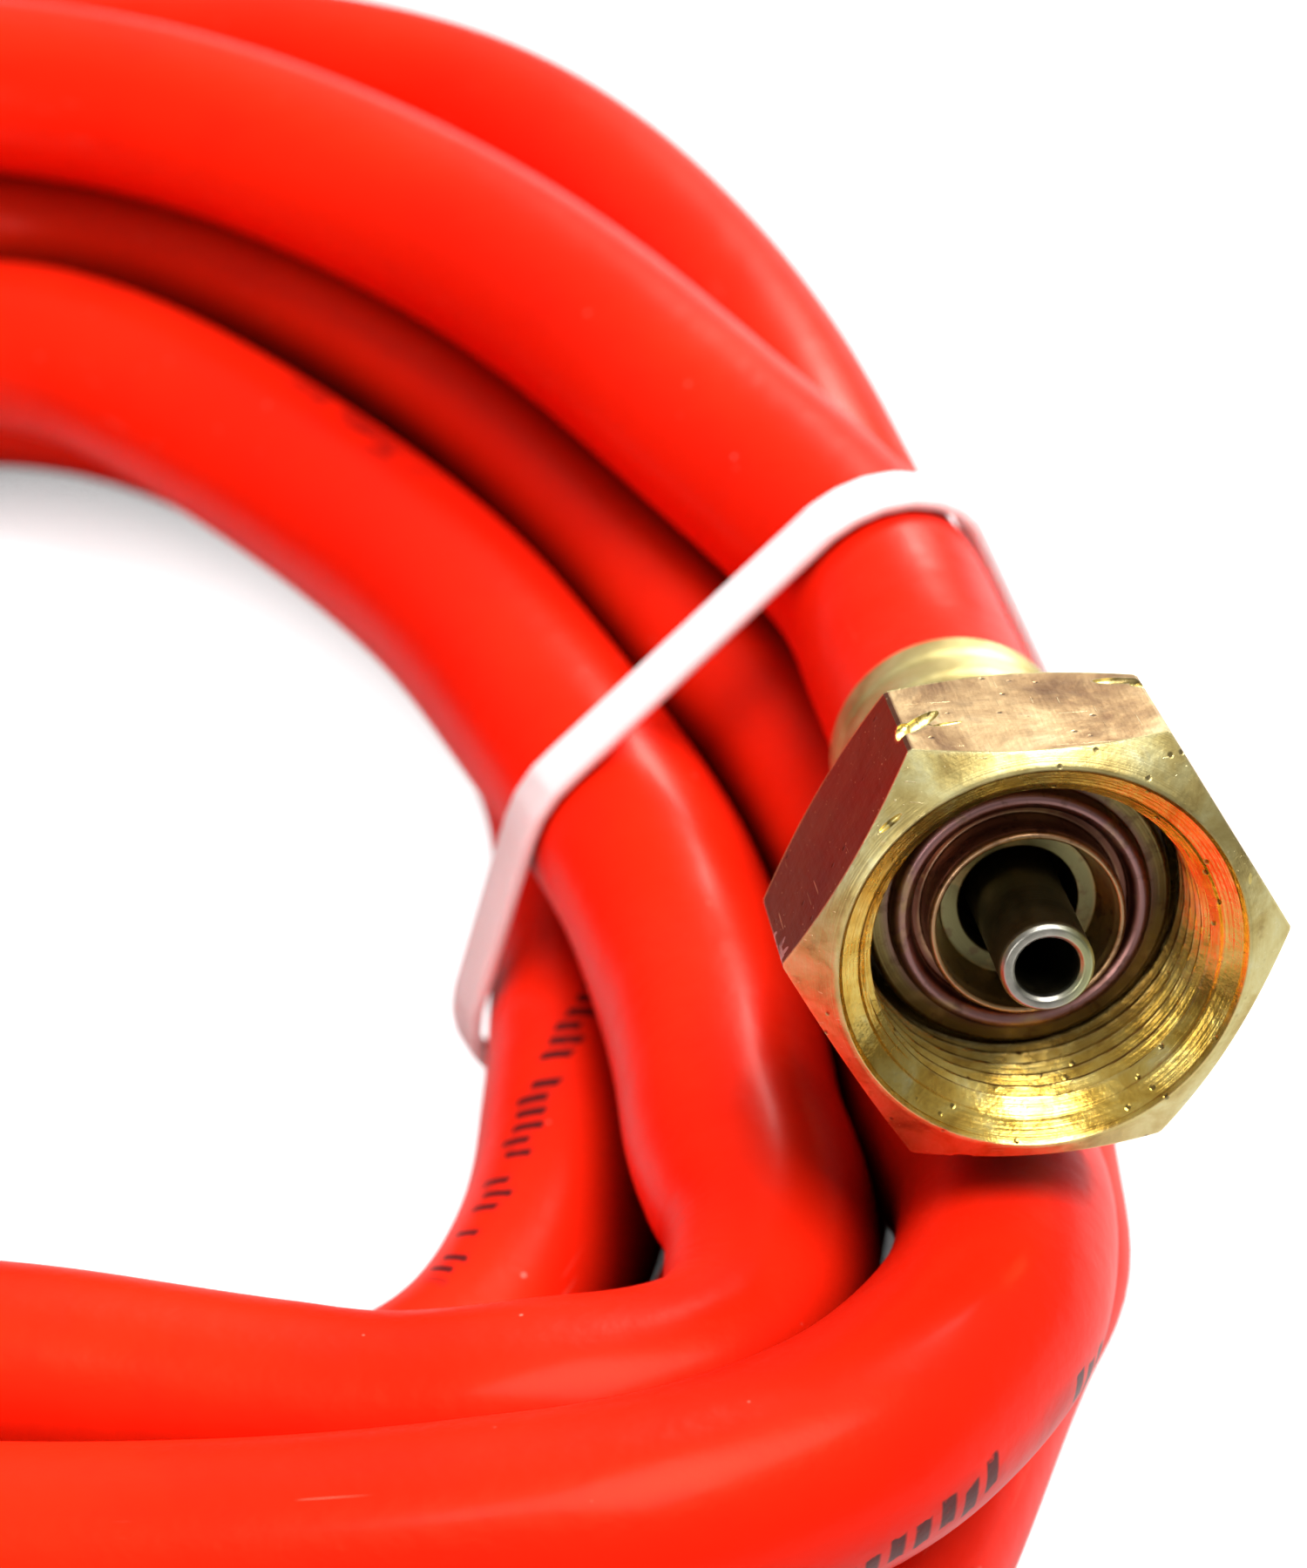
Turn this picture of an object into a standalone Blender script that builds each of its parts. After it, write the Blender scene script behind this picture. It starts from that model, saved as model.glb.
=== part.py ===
"""Coiled rubber gas hose with a union-nut fitting on each end, held by two
nylon cable ties.

World frame: metres, +Z up.  The coil lies flat with its axis vertical; z = 0 is
the surface it lies on and the origin is the middle of its footprint.  The hose
is one long path of five and a bit turns, laid in two layers.  Each fitting is
built in the frame of its empty, END_A or END_B: local +Z points out of the
fitting along its axis, and the mouth plane of the union nut is local z = 0.
Dimensions are in millimetres, and are scaled by MM as the geometry is made.
"""
import math
import bpy
import bmesh
import numpy as np
from mathutils import Matrix, Vector

MM = 0.001

# ---------------------------------------------------------------- dimensions
HOSE_OD = 15.0            # rubber cover outside
COVER_IN = 11.6           # rubber cover inside
BRAID_OUT, BRAID_IN = 10.9, 10.3
LINER_OUT, LINER_IN = 10.0, 8.2
COVER_SIDES, INNER_SIDES = 12, 8
STRAND_GAP = 0.45         # daylight kept between neighbouring turns
FLOOR_GAP = 1.5           # the straps pass under the bottom layer
LOWEST_CENTRE = HOSE_OD / 2 + FLOOR_GAP     # height of the bottom layer's centreline

# Distances along a fitting are measured behind its mouth plane.
NUT_AF = 27.0             # across flats
NUT_CORNER = NUT_AF / math.sqrt(3.0)        # axis to corner
NUT_LEN = 13.4
NUT_CHAMFER = 30.0        # degrees
NUT_FACE = NUT_AF / 2 - 0.75                # radius of the flat end face
NUT_SHOULDER = 11.6       # inner shoulder the slip ring bears on
NUT_NECK_BORE = 11.6
THREAD_MINOR = 20.4       # M22 x 1.5, left hand
THREAD_PITCH = 1.5
THREAD_DEPTH = 0.62
THREAD_FROM, THREAD_TO = 2.7, 9.0

HOSE_END = 20.2           # hose end face
FERRULE_FROM, FERRULE_TO = 18.0, 33.0
FERRULE_GROOVES = (22.6, 26.2, 29.8)        # middles of the crimped grooves
BARB_FROM, BARB_PITCH = 21.0, 3.2
BARB_COUNT = 4
STRAIGHT_RUN = (HOSE_END, 26.0, 33.0, 40.0)     # the hose is straight through these

STRAP_W, STRAP_T = 3.6, 1.1
STRAP_GAP = 0.35          # strap to hose
HEAD_SIZE = (6.0, 6.0, 4.0)
HEAD_BEVEL = 0.5
HEAD_OFFSET = 1.5         # strap mid-line to head centre
STUB_SIZE = (3.3, 6.4, 1.1)
STUB_CENTRE = (0.0, 5.0, 0.9)               # in the head's frame

# The coil is laid out about its own centre.  This point of that layout, the
# middle of the footprint at the underside of the straps, becomes the origin.
FOOT = (-8.48, 7.40, FLOOR_GAP - STRAP_GAP - STRAP_T)

# ------------------------------------------------------- where the ends point
MOUTH_A = np.array([75.5, -51.2, 51.7])
AXIS_A = np.array([0.100, -0.942, 0.317])
# end B runs level, along the tangent at this plan angle (degrees) and radius
ANGLE_B, RADIUS_B, HEIGHT_B = 125.0, 109.0, 17.6
OVERHANG_B = 46.0         # tangent point to mouth

# name, point on the vertical strap plane, outward plan direction in degrees
STRAP_PLANES = (("cable_tie_a", (58.0, -4.5), 26.5),
                ("cable_tie_b", (-30.0, -12.0), 202.0))

# Lanes of the coil, from the fitting A end inwards and then down and out:
# (plan angle in degrees, radius, height) of the hose centre.
LANES = (
    ((3, 67.5, 36.5), (15, 61.8, 37.5), (28, 59.1, 38), (45, 59.2, 38), (64, 62, 38), (82, 68, 37.5),
     (105, 74, 35.5), (140, 78, 31), (180, 78, 27), (220, 78, 26.5), (255, 77, 28)),
    ((-80, 80.3, 29), (-63, 88.5, 30.5), (-56, 92, 30.5), (-51, 94.3, 30), (-45, 95, 29.5),
     (-39, 92.8, 28), (-33.5, 88, 25.5), (-24, 78.6, 22.6), (-14, 70.5, 21), (0, 62.8, 20.5),
     (20, 57.8, 21.3), (45, 57.6, 21.5), (70, 64.5, 21.5), (95, 73, 22), (140, 70.5, 22.5),
     (180, 66, 22.5), (220, 63, 23), (255, 61, 23)),
    ((-80, 61, 23.5), (-71, 65.4, 23.2), (-62, 73.8, 23), (-55.5, 80.5, 22), (-49.5, 86, 21),
     (-43, 87.3, 20.5), (-36.5, 80, 21), (-29.7, 70.2, 21.5), (-20, 59.5, 21.5), (-10, 51.8, 21.5),
     (10, 43.3, 21.5), (21, 42.4, 21.5), (52, 41.9, 21.5), (75, 48, 21.5), (95, 58, 21.5),
     (120, 58.5, 19), (150, 57, 14), (185, 56, 10), (220, 56, 9), (255, 57, 9)),
    ((-75, 61, 9), (-62, 63, 9), (-50.5, 64.5, 9), (-40, 60.5, 9), (-31.5, 55.8, 9), (-19.5, 51, 9),
     (-5, 49, 9), (20, 47.5, 9), (45, 51, 9), (75, 60.8, 9), (97, 70, 9), (140, 71.5, 9),
     (180, 71.5, 9), (220, 72, 9), (255, 73, 9)),
    ((-75, 77.5, 9), (-62, 80, 9), (-50, 80.5, 9), (-38, 75, 9), (-28, 69.8, 9), (-10, 64.6, 9),
     (15, 63.5, 9), (45, 69, 9), (75, 77.5, 9), (97, 86, 9), (140, 87.5, 9), (180, 87.5, 9),
     (220, 88, 9), (255, 89.5, 9)),
    ((-75, 96, 9), (-57, 99, 9), (-47, 96, 9), (-41, 92.2, 9), (-33, 87.6, 9), (-23, 83.5, 9),
     (-12, 79.5, 9.6), (5, 76, 15), (19, 73.5, 20), (32, 76.5, 22.5), (44, 82.6, 22.5),
     (55, 89.8, 22.5), (66, 98.2, 22.5), (76, 102.8, 22), (98, 107.5, 19)),
)


# -------------------------------------------------------------- point helpers
def unit(vector):
    vector = np.asarray(vector, float)
    return vector / np.linalg.norm(vector)


def running_length(points, power=1.0):
    """Length from the first point to each point, every span raised to power."""
    spans = np.linalg.norm(np.diff(points, axis=0), axis=1)
    return np.r_[0.0, np.cumsum(spans ** power)]


def resample(points, count, endpoint=True):
    """Evenly spaced points along a polyline."""
    length = running_length(points)
    wanted = np.linspace(0.0, length[-1], count, endpoint=endpoint)
    return np.stack([np.interp(wanted, length, column) for column in points.T], 1)


def natural_spline(knots, points, wanted):
    """Natural cubic spline through the rows of points, evaluated at wanted."""
    count = len(knots)
    gap = np.diff(knots)
    matrix = np.zeros((count, count))
    rhs = np.zeros((count, points.shape[1]))
    matrix[0, 0] = matrix[-1, -1] = 1.0
    for i in range(1, count - 1):
        matrix[i, i - 1] = gap[i - 1]
        matrix[i, i] = 2 * (gap[i - 1] + gap[i])
        matrix[i, i + 1] = gap[i]
        rhs[i] = 6 * ((points[i + 1] - points[i]) / gap[i]
                      - (points[i] - points[i - 1]) / gap[i - 1])
    second = np.linalg.solve(matrix, rhs)      # second derivatives at the knots
    k = np.clip(np.searchsorted(knots, wanted) - 1, 0, count - 2)
    width = gap[k]
    before = (knots[k + 1] - wanted) / width
    after = (wanted - knots[k]) / width
    return (before[:, None] * points[k] + after[:, None] * points[k + 1]
            + ((before ** 3 - before)[:, None] * second[k]
               + (after ** 3 - after)[:, None] * second[k + 1])
            * (width ** 2)[:, None] / 6)


def end_frames():
    """(mouth point, outward axis) of fittings A and B."""
    angle = math.radians(ANGLE_B)
    tangent_point = np.array([RADIUS_B * math.cos(angle), RADIUS_B * math.sin(angle), HEIGHT_B])
    axis_b = np.array([-math.sin(angle), math.cos(angle), 0.0])
    return (MOUTH_A, unit(AXIS_A)), (tangent_point + OVERHANG_B * axis_b, axis_b)


END_A, END_B = end_frames()


# ------------------------------------------------------------------ hose path
PATH_COUNT = 560          # points on the centreline
SPLINE_COUNT = 5000       # samples of the spline before even spacing
KNOT_POWER = 0.75         # knot spacing = span length to this power
ROUNDS = 420              # relaxation rounds
# (smoothing, pull back to the layout) per round, for early and late rounds
EARLY, LATE = (0.2, 0.016), (0.08, 0.006)
EARLY_SHARE = 0.7
STRAND_PUSH, NUT_PUSH = 0.4, 0.5            # share of an overlap undone per round
NEIGHBOUR_RUN = 40.0      # points closer than this along the hose never push
LOCKED_RUN = 15.0         # hose held fixed at each end
NUT_ZONE = (-17.2, -0.4)  # axial span of a fitting that pushes strands away
NUT_CLEAR = 0.35


def layout_points():
    """The straight runs at both fittings with the lanes between them."""
    (mouth_a, axis_a), (mouth_b, axis_b) = END_A, END_B
    points = [mouth_a - axis_a * back for back in STRAIGHT_RUN]
    for lane in LANES:
        for degrees, radius, height in lane:
            angle = math.radians(degrees)
            points.append(np.array([radius * math.cos(angle), radius * math.sin(angle), height]))
    points += [mouth_b - axis_b * back for back in reversed(STRAIGHT_RUN)]
    return np.array(points)


def hose_path():
    """Smooth centreline; neighbouring turns are pushed apart until they clear."""
    layout = layout_points()
    knots = running_length(layout, KNOT_POWER)
    dense = natural_spline(knots, layout, np.linspace(0.0, knots[-1], SPLINE_COUNT))
    path = resample(dense, PATH_COUNT)
    step = running_length(dense)[-1] / (PATH_COUNT - 1)

    # the ends are held on the fitting axes
    (mouth_a, axis_a), (mouth_b, axis_b) = END_A, END_B
    start = path.copy()
    lock = int(LOCKED_RUN / step) + 1
    back = (HOSE_END + step * np.arange(lock))[:, None]
    start[:lock] = mouth_a - axis_a * back
    start[-lock:] = (mouth_b - axis_b * back)[::-1]

    index = np.arange(PATH_COUNT)
    skip = int(NEIGHBOUR_RUN / step) + 1
    far = np.abs(index[:, None] - index[None]) > skip
    # each nut ignores the stretch of hose that leads to it
    nuts = ((mouth_a, axis_a, index < 3 * skip),
            (mouth_b, axis_b, index > PATH_COUNT - 1 - 3 * skip))
    strand_reach = HOSE_OD + STRAND_GAP
    nut_reach = NUT_CORNER + HOSE_OD / 2 + NUT_CLEAR

    for turn in range(ROUNDS):
        soft, hold = EARLY if turn < ROUNDS * EARLY_SHARE else LATE
        apart = path[:, None] - path[None]
        distance = np.linalg.norm(apart, axis=2) + 1e-9
        push = np.where(far & (distance < strand_reach), (strand_reach - distance) / distance, 0.0)
        path = path + (apart * push[:, :, None]).sum(1) * STRAND_PUSH
        for mouth, axis, own in nuts:
            along = (path - mouth) @ axis
            away = path - (mouth + np.clip(along, *NUT_ZONE)[:, None] * axis)
            distance = np.linalg.norm(away, axis=1) + 1e-9
            push = np.where(~own & (distance < nut_reach), (nut_reach - distance) / distance, 0.0)
            path = path + away * push[:, None] * NUT_PUSH
        smooth = path.copy()
        smooth[1:-1] = 0.25 * path[:-2] + 0.5 * path[1:-1] + 0.25 * path[2:]
        path = path + soft * (smooth - path) + hold * (start - path)
        path[:, 2] = np.maximum(path[:, 2], LOWEST_CENTRE)
        path[:lock] = start[:lock]
        path[-lock:] = start[-lock:]
    return path


# Plan angles of the cross-sections in each turn, closer in the tight bend by
# fitting A, so neighbouring turns have parallel facets.
RING_ANGLES = (*range(0, 288, 24), 288, 300, 309, 316, 323, 330, 337, 348)
END_RING_RUN = 16.5       # hose end face to the second cross-section
END_CLEAR = 17.0          # hose ends kept free of coil cross-sections
RING_MIN = 6.0            # least spacing of cross-sections


def coil_rings(path):
    """Cross-section stations of the hose, end A to end B."""
    angles = np.degrees(np.unwrap(np.arctan2(path[:, 1], path[:, 0])))
    length = running_length(path)
    (mouth_a, axis_a), (mouth_b, axis_b) = END_A, END_B
    stations = [mouth_a - axis_a * HOSE_END, mouth_a - axis_a * (HOSE_END + END_RING_RUN)]
    last = END_CLEAR
    limit = length[-1] - END_CLEAR
    for wanted in [360.0 * turn + angle for turn in range(-1, 7) for angle in RING_ANGLES]:
        k = np.searchsorted(angles, wanted)
        if k <= 0 or k >= len(angles):
            continue
        share = (wanted - angles[k - 1]) / (angles[k] - angles[k - 1])
        here = length[k - 1] + share * (length[k] - length[k - 1])
        if here < last + RING_MIN or here > limit - RING_MIN:
            continue
        stations.append(path[k - 1] + share * (path[k] - path[k - 1]))
        last = here
    stations.append(mouth_b - axis_b * (HOSE_END + END_RING_RUN))
    stations.append(mouth_b - axis_b * HOSE_END)
    return np.array(stations)


# ------------------------------------------------------------- scene helpers
for old in list(bpy.data.objects):
    bpy.data.objects.remove(old, do_unlink=True)

scene = bpy.context.scene
scene.unit_settings.system = "METRIC"
scene.unit_settings.scale_length = 1.0

body = bpy.data.collections.new("gas_hose")
tools = bpy.data.collections.new("tools")
scene.collection.children.link(body)
scene.collection.children.link(tools)
tools.hide_render = True


def material(name, rgb, metallic, roughness):
    mat = bpy.data.materials.new(name)
    mat.use_nodes = True
    shader = mat.node_tree.nodes.get("Principled BSDF")
    shader.inputs["Base Color"].default_value = (*rgb, 1.0)
    shader.inputs["Metallic"].default_value = metallic
    shader.inputs["Roughness"].default_value = roughness
    mat.diffuse_color = (*rgb, 1.0)
    return mat


def add(name, data, mat, parent=None):
    ob = bpy.data.objects.new(name, data)
    body.objects.link(ob)
    ob.data.materials.append(mat)
    ob.parent = parent
    return ob


def cut(target, name, data, operation, parent=None, matrix=None):
    """Apply a hidden tool object, made from data, to target as a boolean."""
    tool = bpy.data.objects.new(name, data)
    tools.objects.link(tool)
    tool.parent = parent
    tool.hide_render = True
    tool.display_type = "WIRE"
    if matrix is not None:
        tool.matrix_world = matrix
    boolean = target.modifiers.new(name, "BOOLEAN")
    boolean.operation = operation
    boolean.solver = "EXACT"
    boolean.object = tool


def mesh_of(name, bm):
    bmesh.ops.recalc_face_normals(bm, faces=bm.faces[:])
    mesh = bpy.data.meshes.new(name)
    bm.to_mesh(mesh)
    bm.free()
    return mesh


def turned(name, profile, segments, closed=True, phase=0.0):
    """Profile of (radius, distance behind the mouth) spun about local Z."""
    bm = bmesh.new()
    verts = [bm.verts.new((radius * MM * math.cos(phase), radius * MM * math.sin(phase),
                           -back * MM)) for radius, back in profile]
    edges = [bm.edges.new(pair) for pair in zip(verts[:-1], verts[1:])]
    if closed:
        edges.append(bm.edges.new((verts[-1], verts[0])))
    bmesh.ops.spin(bm, geom=verts + edges, cent=(0, 0, 0), axis=(0, 0, 1), dvec=(0, 0, 0),
                   angle=2 * math.pi, steps=segments, use_merge=True, use_duplicate=False)
    bmesh.ops.remove_doubles(bm, verts=bm.verts[:], dist=1e-7)
    return mesh_of(name, bm)


def box(size, centre=(0.0, 0.0, 0.0)):
    """New bmesh holding one box."""
    bm = bmesh.new()
    bmesh.ops.create_cube(bm, size=1.0, matrix=Matrix.Translation(Vector(centre) * MM)
                          @ Matrix.Diagonal((*(side * MM for side in size), 1.0)))
    return bm


# ------------------------------------------------------------------ materials
COVER = material("cover_rubber", rgb=(0.78, 0.035, 0.012), metallic=0.0, roughness=0.32)
BRAID = material("braid_yarn", rgb=(0.72, 0.68, 0.58), metallic=0.0, roughness=0.8)
LINER = material("liner_rubber", rgb=(0.03, 0.03, 0.03), metallic=0.0, roughness=0.6)
NUT = material("nut_brass", rgb=(0.62, 0.50, 0.22), metallic=1.0, roughness=0.34)
SLIP_RING = material("slip_ring_steel", rgb=(0.55, 0.55, 0.52), metallic=1.0, roughness=0.35)
NIPPLE = material("nipple_plated", rgb=(0.50, 0.40, 0.30), metallic=1.0, roughness=0.38)
STEM = material("stem_steel", rgb=(0.66, 0.65, 0.62), metallic=1.0, roughness=0.28)
FERRULE = material("ferrule_plated", rgb=(0.72, 0.66, 0.42), metallic=1.0, roughness=0.36)
TIE = material("tie_nylon", rgb=(0.86, 0.84, 0.82), metallic=0.0, roughness=0.42)


# ----------------------------------------------------------------------- hose
def tube(name, outside, inside, sides, mat, points):
    """Hollow tube on a polyline: bevelled curve, wall added inwards."""
    curve = bpy.data.curves.new(name, "CURVE")
    curve.dimensions = "3D"
    curve.twist_mode = "MINIMUM"
    spline = curve.splines.new("POLY")
    spline.points.add(len(points) - 1)
    for target, (x, y, z) in zip(spline.points, points):
        target.co = (x * MM, y * MM, z * MM, 1.0)
    curve.bevel_depth = outside / 2 * MM
    curve.bevel_resolution = (sides - 4) // 2
    curve.resolution_u = 1
    curve.use_fill_caps = False
    wall = add(name, curve, mat).modifiers.new("wall", "SOLIDIFY")
    wall.thickness = (outside - inside) / 2 * MM
    wall.offset = -1.0
    wall.use_even_offset = False
    wall.use_rim = True


# ------------------------------------------------------------------- fittings
def end_empty(name, mouth, axis):
    """Empty with +Z along the axis and +X level, so a nut flat faces up."""
    end = bpy.data.objects.new(name, None)
    body.objects.link(end)
    local_z = Vector(axis).normalized()
    local_x = Vector((0, 0, 1)).cross(local_z).normalized()
    frame = Matrix((local_x, local_z.cross(local_x), local_z)).transposed()
    end.rotation_mode = "QUATERNION"
    end.rotation_quaternion = frame.to_quaternion()
    end.location = Vector(mouth) * MM
    return end


def thread_tool(name):
    """Left-hand helical V cutter, closed at both ends."""
    steps_per_turn = 12
    root = THREAD_MINOR / 2 - 0.12             # starts just inside the bore
    tip = THREAD_MINOR / 2 + THREAD_DEPTH
    root_half, tip_half = 0.56, 0.10           # half widths of the V
    turns = (THREAD_TO - THREAD_FROM) / THREAD_PITCH
    steps = int(round(turns * steps_per_turn))
    bm = bmesh.new()
    section = bm.faces.new([
        bm.verts.new((radius * MM, 0, (-THREAD_TO + rise) * MM))
        for radius, rise in ((root, -root_half), (tip, -tip_half),
                             (tip, tip_half), (root, root_half))])
    bmesh.ops.spin(bm, geom=[section] + section.edges[:] + section.verts[:],
                   cent=(0, 0, 0), axis=(0, 0, 1),
                   dvec=(0, 0, (THREAD_TO - THREAD_FROM) / steps * MM),
                   angle=-2 * math.pi * turns, steps=steps, use_merge=False,
                   use_duplicate=False)
    return mesh_of(name, bm)


def hexagon(name):
    """Plain hexagonal prism with a corner on local +X."""
    bm = bmesh.new()
    bmesh.ops.create_cone(bm, cap_ends=True, cap_tris=False, segments=6,
                          radius1=NUT_CORNER * MM, radius2=NUT_CORNER * MM, depth=NUT_LEN * MM,
                          matrix=Matrix.Translation((0, 0, -NUT_LEN / 2 * MM)))
    corner_angle = max((math.atan2(vert.co.y, vert.co.x) for vert in bm.verts), key=math.cos)
    bmesh.ops.rotate(bm, verts=bm.verts[:], cent=(0, 0, 0),
                     matrix=Matrix.Rotation(-corner_angle, 3, "Z"))
    return mesh_of(name, bm)


def union_nut(tag, end):
    """Hexagon chamfered at both ends, with a stepped bore and a thread."""
    nut = add("union_nut_" + tag, hexagon("union_nut_" + tag), NUT, end)
    outside = NUT_CORNER + 0.6
    drop = (outside - NUT_FACE) * math.tan(math.radians(NUT_CHAMFER))
    name = "nut_chamfer_" + tag
    cut(nut, name, turned(name, (
        (0.0, -0.02), (NUT_FACE, -0.02), (outside, drop), (outside, NUT_LEN - drop),
        (NUT_FACE, NUT_LEN + 0.02), (0.0, NUT_LEN + 0.02)), 30, closed=False),
        "INTERSECT", end)
    minor = THREAD_MINOR / 2
    relief = minor + 0.75                      # wider bore between thread and shoulder
    name = "nut_bore_" + tag
    cut(nut, name, turned(name, (
        (0.0, -1.0), (13.4, -1.0), (12.45, 0.0), (11.35, 0.9), (11.2, 2.2), (minor, 3.2),
        (minor, 9.2), (relief, 9.5), (relief, NUT_SHOULDER),
        (NUT_NECK_BORE / 2, NUT_SHOULDER), (NUT_NECK_BORE / 2, NUT_LEN + 1.0),
        (0.0, NUT_LEN + 1.0)), 24, closed=False, phase=math.radians(2.3)),
        "DIFFERENCE", end)
    name = "nut_thread_" + tag
    cut(nut, name, thread_tool(name), "DIFFERENCE", end)


def slip_ring(tag, end):
    """Ring between the nut shoulder and the back of the nipple flange."""
    inner, outer, front, back = 5.6, 10.0, 10.5, 11.3
    profile = ((inner, front), (outer, front), (outer, back), (inner, back))
    add("slip_ring_" + tag, turned("slip_ring_" + tag, profile, 20), SLIP_RING, end)


def nipple(tag, end):
    """Two sealing ridges, flange, plain neck, barbed tail inside the hose."""
    bore = [(3.2, BARB_FROM + BARB_COUNT * BARB_PITCH + 0.5), (3.2, 14.2), (3.75, 13.6),
            (3.75, 8.5)]
    outer = [(4.9, 8.5), (5.6, 6.2), (5.75, 5.2), (6.0, 5.2), (6.175, 5.45), (6.175, 8.2),
             (7.1, 8.2), (7.1, 7.15), (7.35, 6.8), (7.9, 6.8), (8.15, 7.1), (8.15, 8.1),
             (9.35, 8.1), (9.6, 8.4), (9.6, 10.2), (5.2, 10.2), (5.2, 19.5), (3.62, 19.5)]
    tail = []
    for i in range(BARB_COUNT):
        front = BARB_FROM + i * BARB_PITCH
        tail += [(3.25, front), (3.62, front + 2.6), (3.62, front + 3.0)]
    add("nipple_" + tag, turned("nipple_" + tag, bore + outer + tail, 18), NIPPLE, end)


def stem_tube(tag, end):
    """Tube in the nipple bore; its end stands just proud of the nut."""
    profile = ((1.95, -0.75), (2.2, -1.0), (2.65, -1.0), (2.88, -0.7), (2.88, 26.0),
               (1.95, 26.0))
    add("stem_tube_" + tag, turned("stem_tube_" + tag, profile, 16), STEM, end)


def ferrule(tag, end):
    """Grooved sleeve crimped over the hose end, with a lip in front of it."""
    lip, outer, groove, inner = 5.5, 8.25, 8.0, 7.72      # radii
    profile = [(lip, FERRULE_FROM), (7.85, FERRULE_FROM), (outer, FERRULE_FROM + 0.5)]
    for middle in FERRULE_GROOVES:
        profile += [(outer, middle - 0.9), (groove, middle - 0.5),
                    (groove, middle + 0.5), (outer, middle + 0.9)]
    profile += [(outer, FERRULE_TO - 0.4), (8.1, FERRULE_TO), (inner, FERRULE_TO),
                (inner, 19.6), (lip, 19.6)]
    add("ferrule_" + tag, turned("ferrule_" + tag, profile, 20), FERRULE, end)


# ----------------------------------------------------------------- cable ties
STRAP_COUNT = 56          # cross-sections round a strap
STRAND_SAMPLE = 0.4       # spacing of the samples along a strand
PLANE_SPAN = (-50.0, 60.0)      # stretch of the strap plane whose strands are tied


def hull(points):
    """Convex hull of 2-D points, counter-clockwise."""
    points = sorted(set((round(float(x), 5), round(float(y), 5)) for x, y in points))

    def half(sequence):
        kept = []
        for point in sequence:
            while len(kept) > 1 and (
                    (kept[-1][0] - kept[-2][0]) * (point[1] - kept[-2][1])
                    - (kept[-1][1] - kept[-2][1]) * (point[0] - kept[-2][0])) <= 0:
                kept.pop()
            kept.append(point)
        return kept[:-1]
    return half(points) + half(points[::-1])


def strap_loop(base, along, normal, stations):
    """Closed (along, height) loop pulled tight round every strand in the plane."""
    cloud = []
    reach = STRAP_W / 2 + 0.3
    for first, second in zip(stations[:-1], stations[1:]):
        sides = ((first - base) @ normal, (second - base) @ normal)
        if min(sides) > reach + 8 or max(sides) < -reach - 8:
            continue
        middle = ((first + second) / 2 - base) @ along
        if middle < PLANE_SPAN[0] or middle > PLANE_SPAN[1]:
            continue
        tangent = unit(second - first)
        across = unit(np.cross(tangent, (0, 0, 1.0)))
        upright = np.cross(tangent, across)
        samples = int(np.linalg.norm(second - first) / STRAND_SAMPLE) + 2
        for share in np.linspace(0.0, 1.0, samples):
            centre = first + share * (second - first)
            for k in range(24):
                turn = k * math.pi / 12
                skin = centre + HOSE_OD / 2 * (math.cos(turn) * across
                                               + math.sin(turn) * upright)
                if abs((skin - base) @ normal) <= reach:
                    cloud.append(((skin - base) @ along, skin[2]))
    grow = STRAP_GAP + STRAP_T / 2
    grown = []
    for x, z in hull(cloud):
        grown += [(x + grow * math.cos(k * math.pi / 8), z + grow * math.sin(k * math.pi / 8))
                  for k in range(16)]
    loop = np.array(hull(grown))
    return resample(np.vstack([loop, loop[:1]]), STRAP_COUNT, endpoint=False)


def strap(name, point, degrees, stations):
    """Flat band round the coil with a locking head and its trimmed end."""
    angle = math.radians(degrees)
    along = np.array([math.cos(angle), math.sin(angle), 0.0])
    normal = np.array([-math.sin(angle), math.cos(angle), 0.0])
    base = np.array([*point, 0.0])
    loop = strap_loop(base, along, normal, stations)
    chord = np.roll(loop, -1, axis=0) - np.roll(loop, 1, axis=0)
    tangent = chord / np.linalg.norm(chord, axis=1)[:, None]
    outward = np.stack([tangent[:, 1], -tangent[:, 0]], 1)

    def in_space(flat):
        return along * flat[0] + np.array([0, 0, flat[1]])

    bm = bmesh.new()
    rows = []
    for flat, out in zip(loop, outward):
        rows.append([
            bm.verts.new((base + in_space(flat + out * thick * STRAP_T)
                          + normal * wide * STRAP_W) * MM)
            for thick, wide in ((-0.5, -0.5), (0.5, -0.5), (0.5, 0.5), (-0.5, 0.5))])
    for here, after in zip(rows, rows[1:] + rows[:1]):
        for k in range(4):
            j = (k + 1) % 4
            bm.faces.new((here[k], here[j], after[j], after[k]))
    tie = add(name, mesh_of(name, bm), TIE)

    # the head sits on the low outer side: far out, near the bottom layer's height
    i = int(np.argmax(loop[:, 0] - np.abs(loop[:, 1] - LOWEST_CENTRE) * 0.6))
    centre = base + in_space(loop[i] + outward[i] * HEAD_OFFSET)
    local_z = Vector(in_space(outward[i]).tolist()).normalized()
    local_y = Vector(in_space(tangent[i]).tolist()).normalized()
    frame = Matrix((local_y.cross(local_z), local_y, local_z)).transposed().to_4x4()
    matrix = Matrix.Translation(Vector((centre * MM).tolist())) @ frame
    bm = box(HEAD_SIZE)
    bmesh.ops.bevel(bm, geom=bm.edges[:], offset=HEAD_BEVEL * MM, segments=1, affect="EDGES")
    cut(tie, name + "_head", mesh_of(name + "_head", bm), "UNION", matrix=matrix)
    stub = mesh_of(name + "_end", box(STUB_SIZE, STUB_CENTRE))
    cut(tie, name + "_end", stub, "UNION", matrix=matrix)


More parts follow.
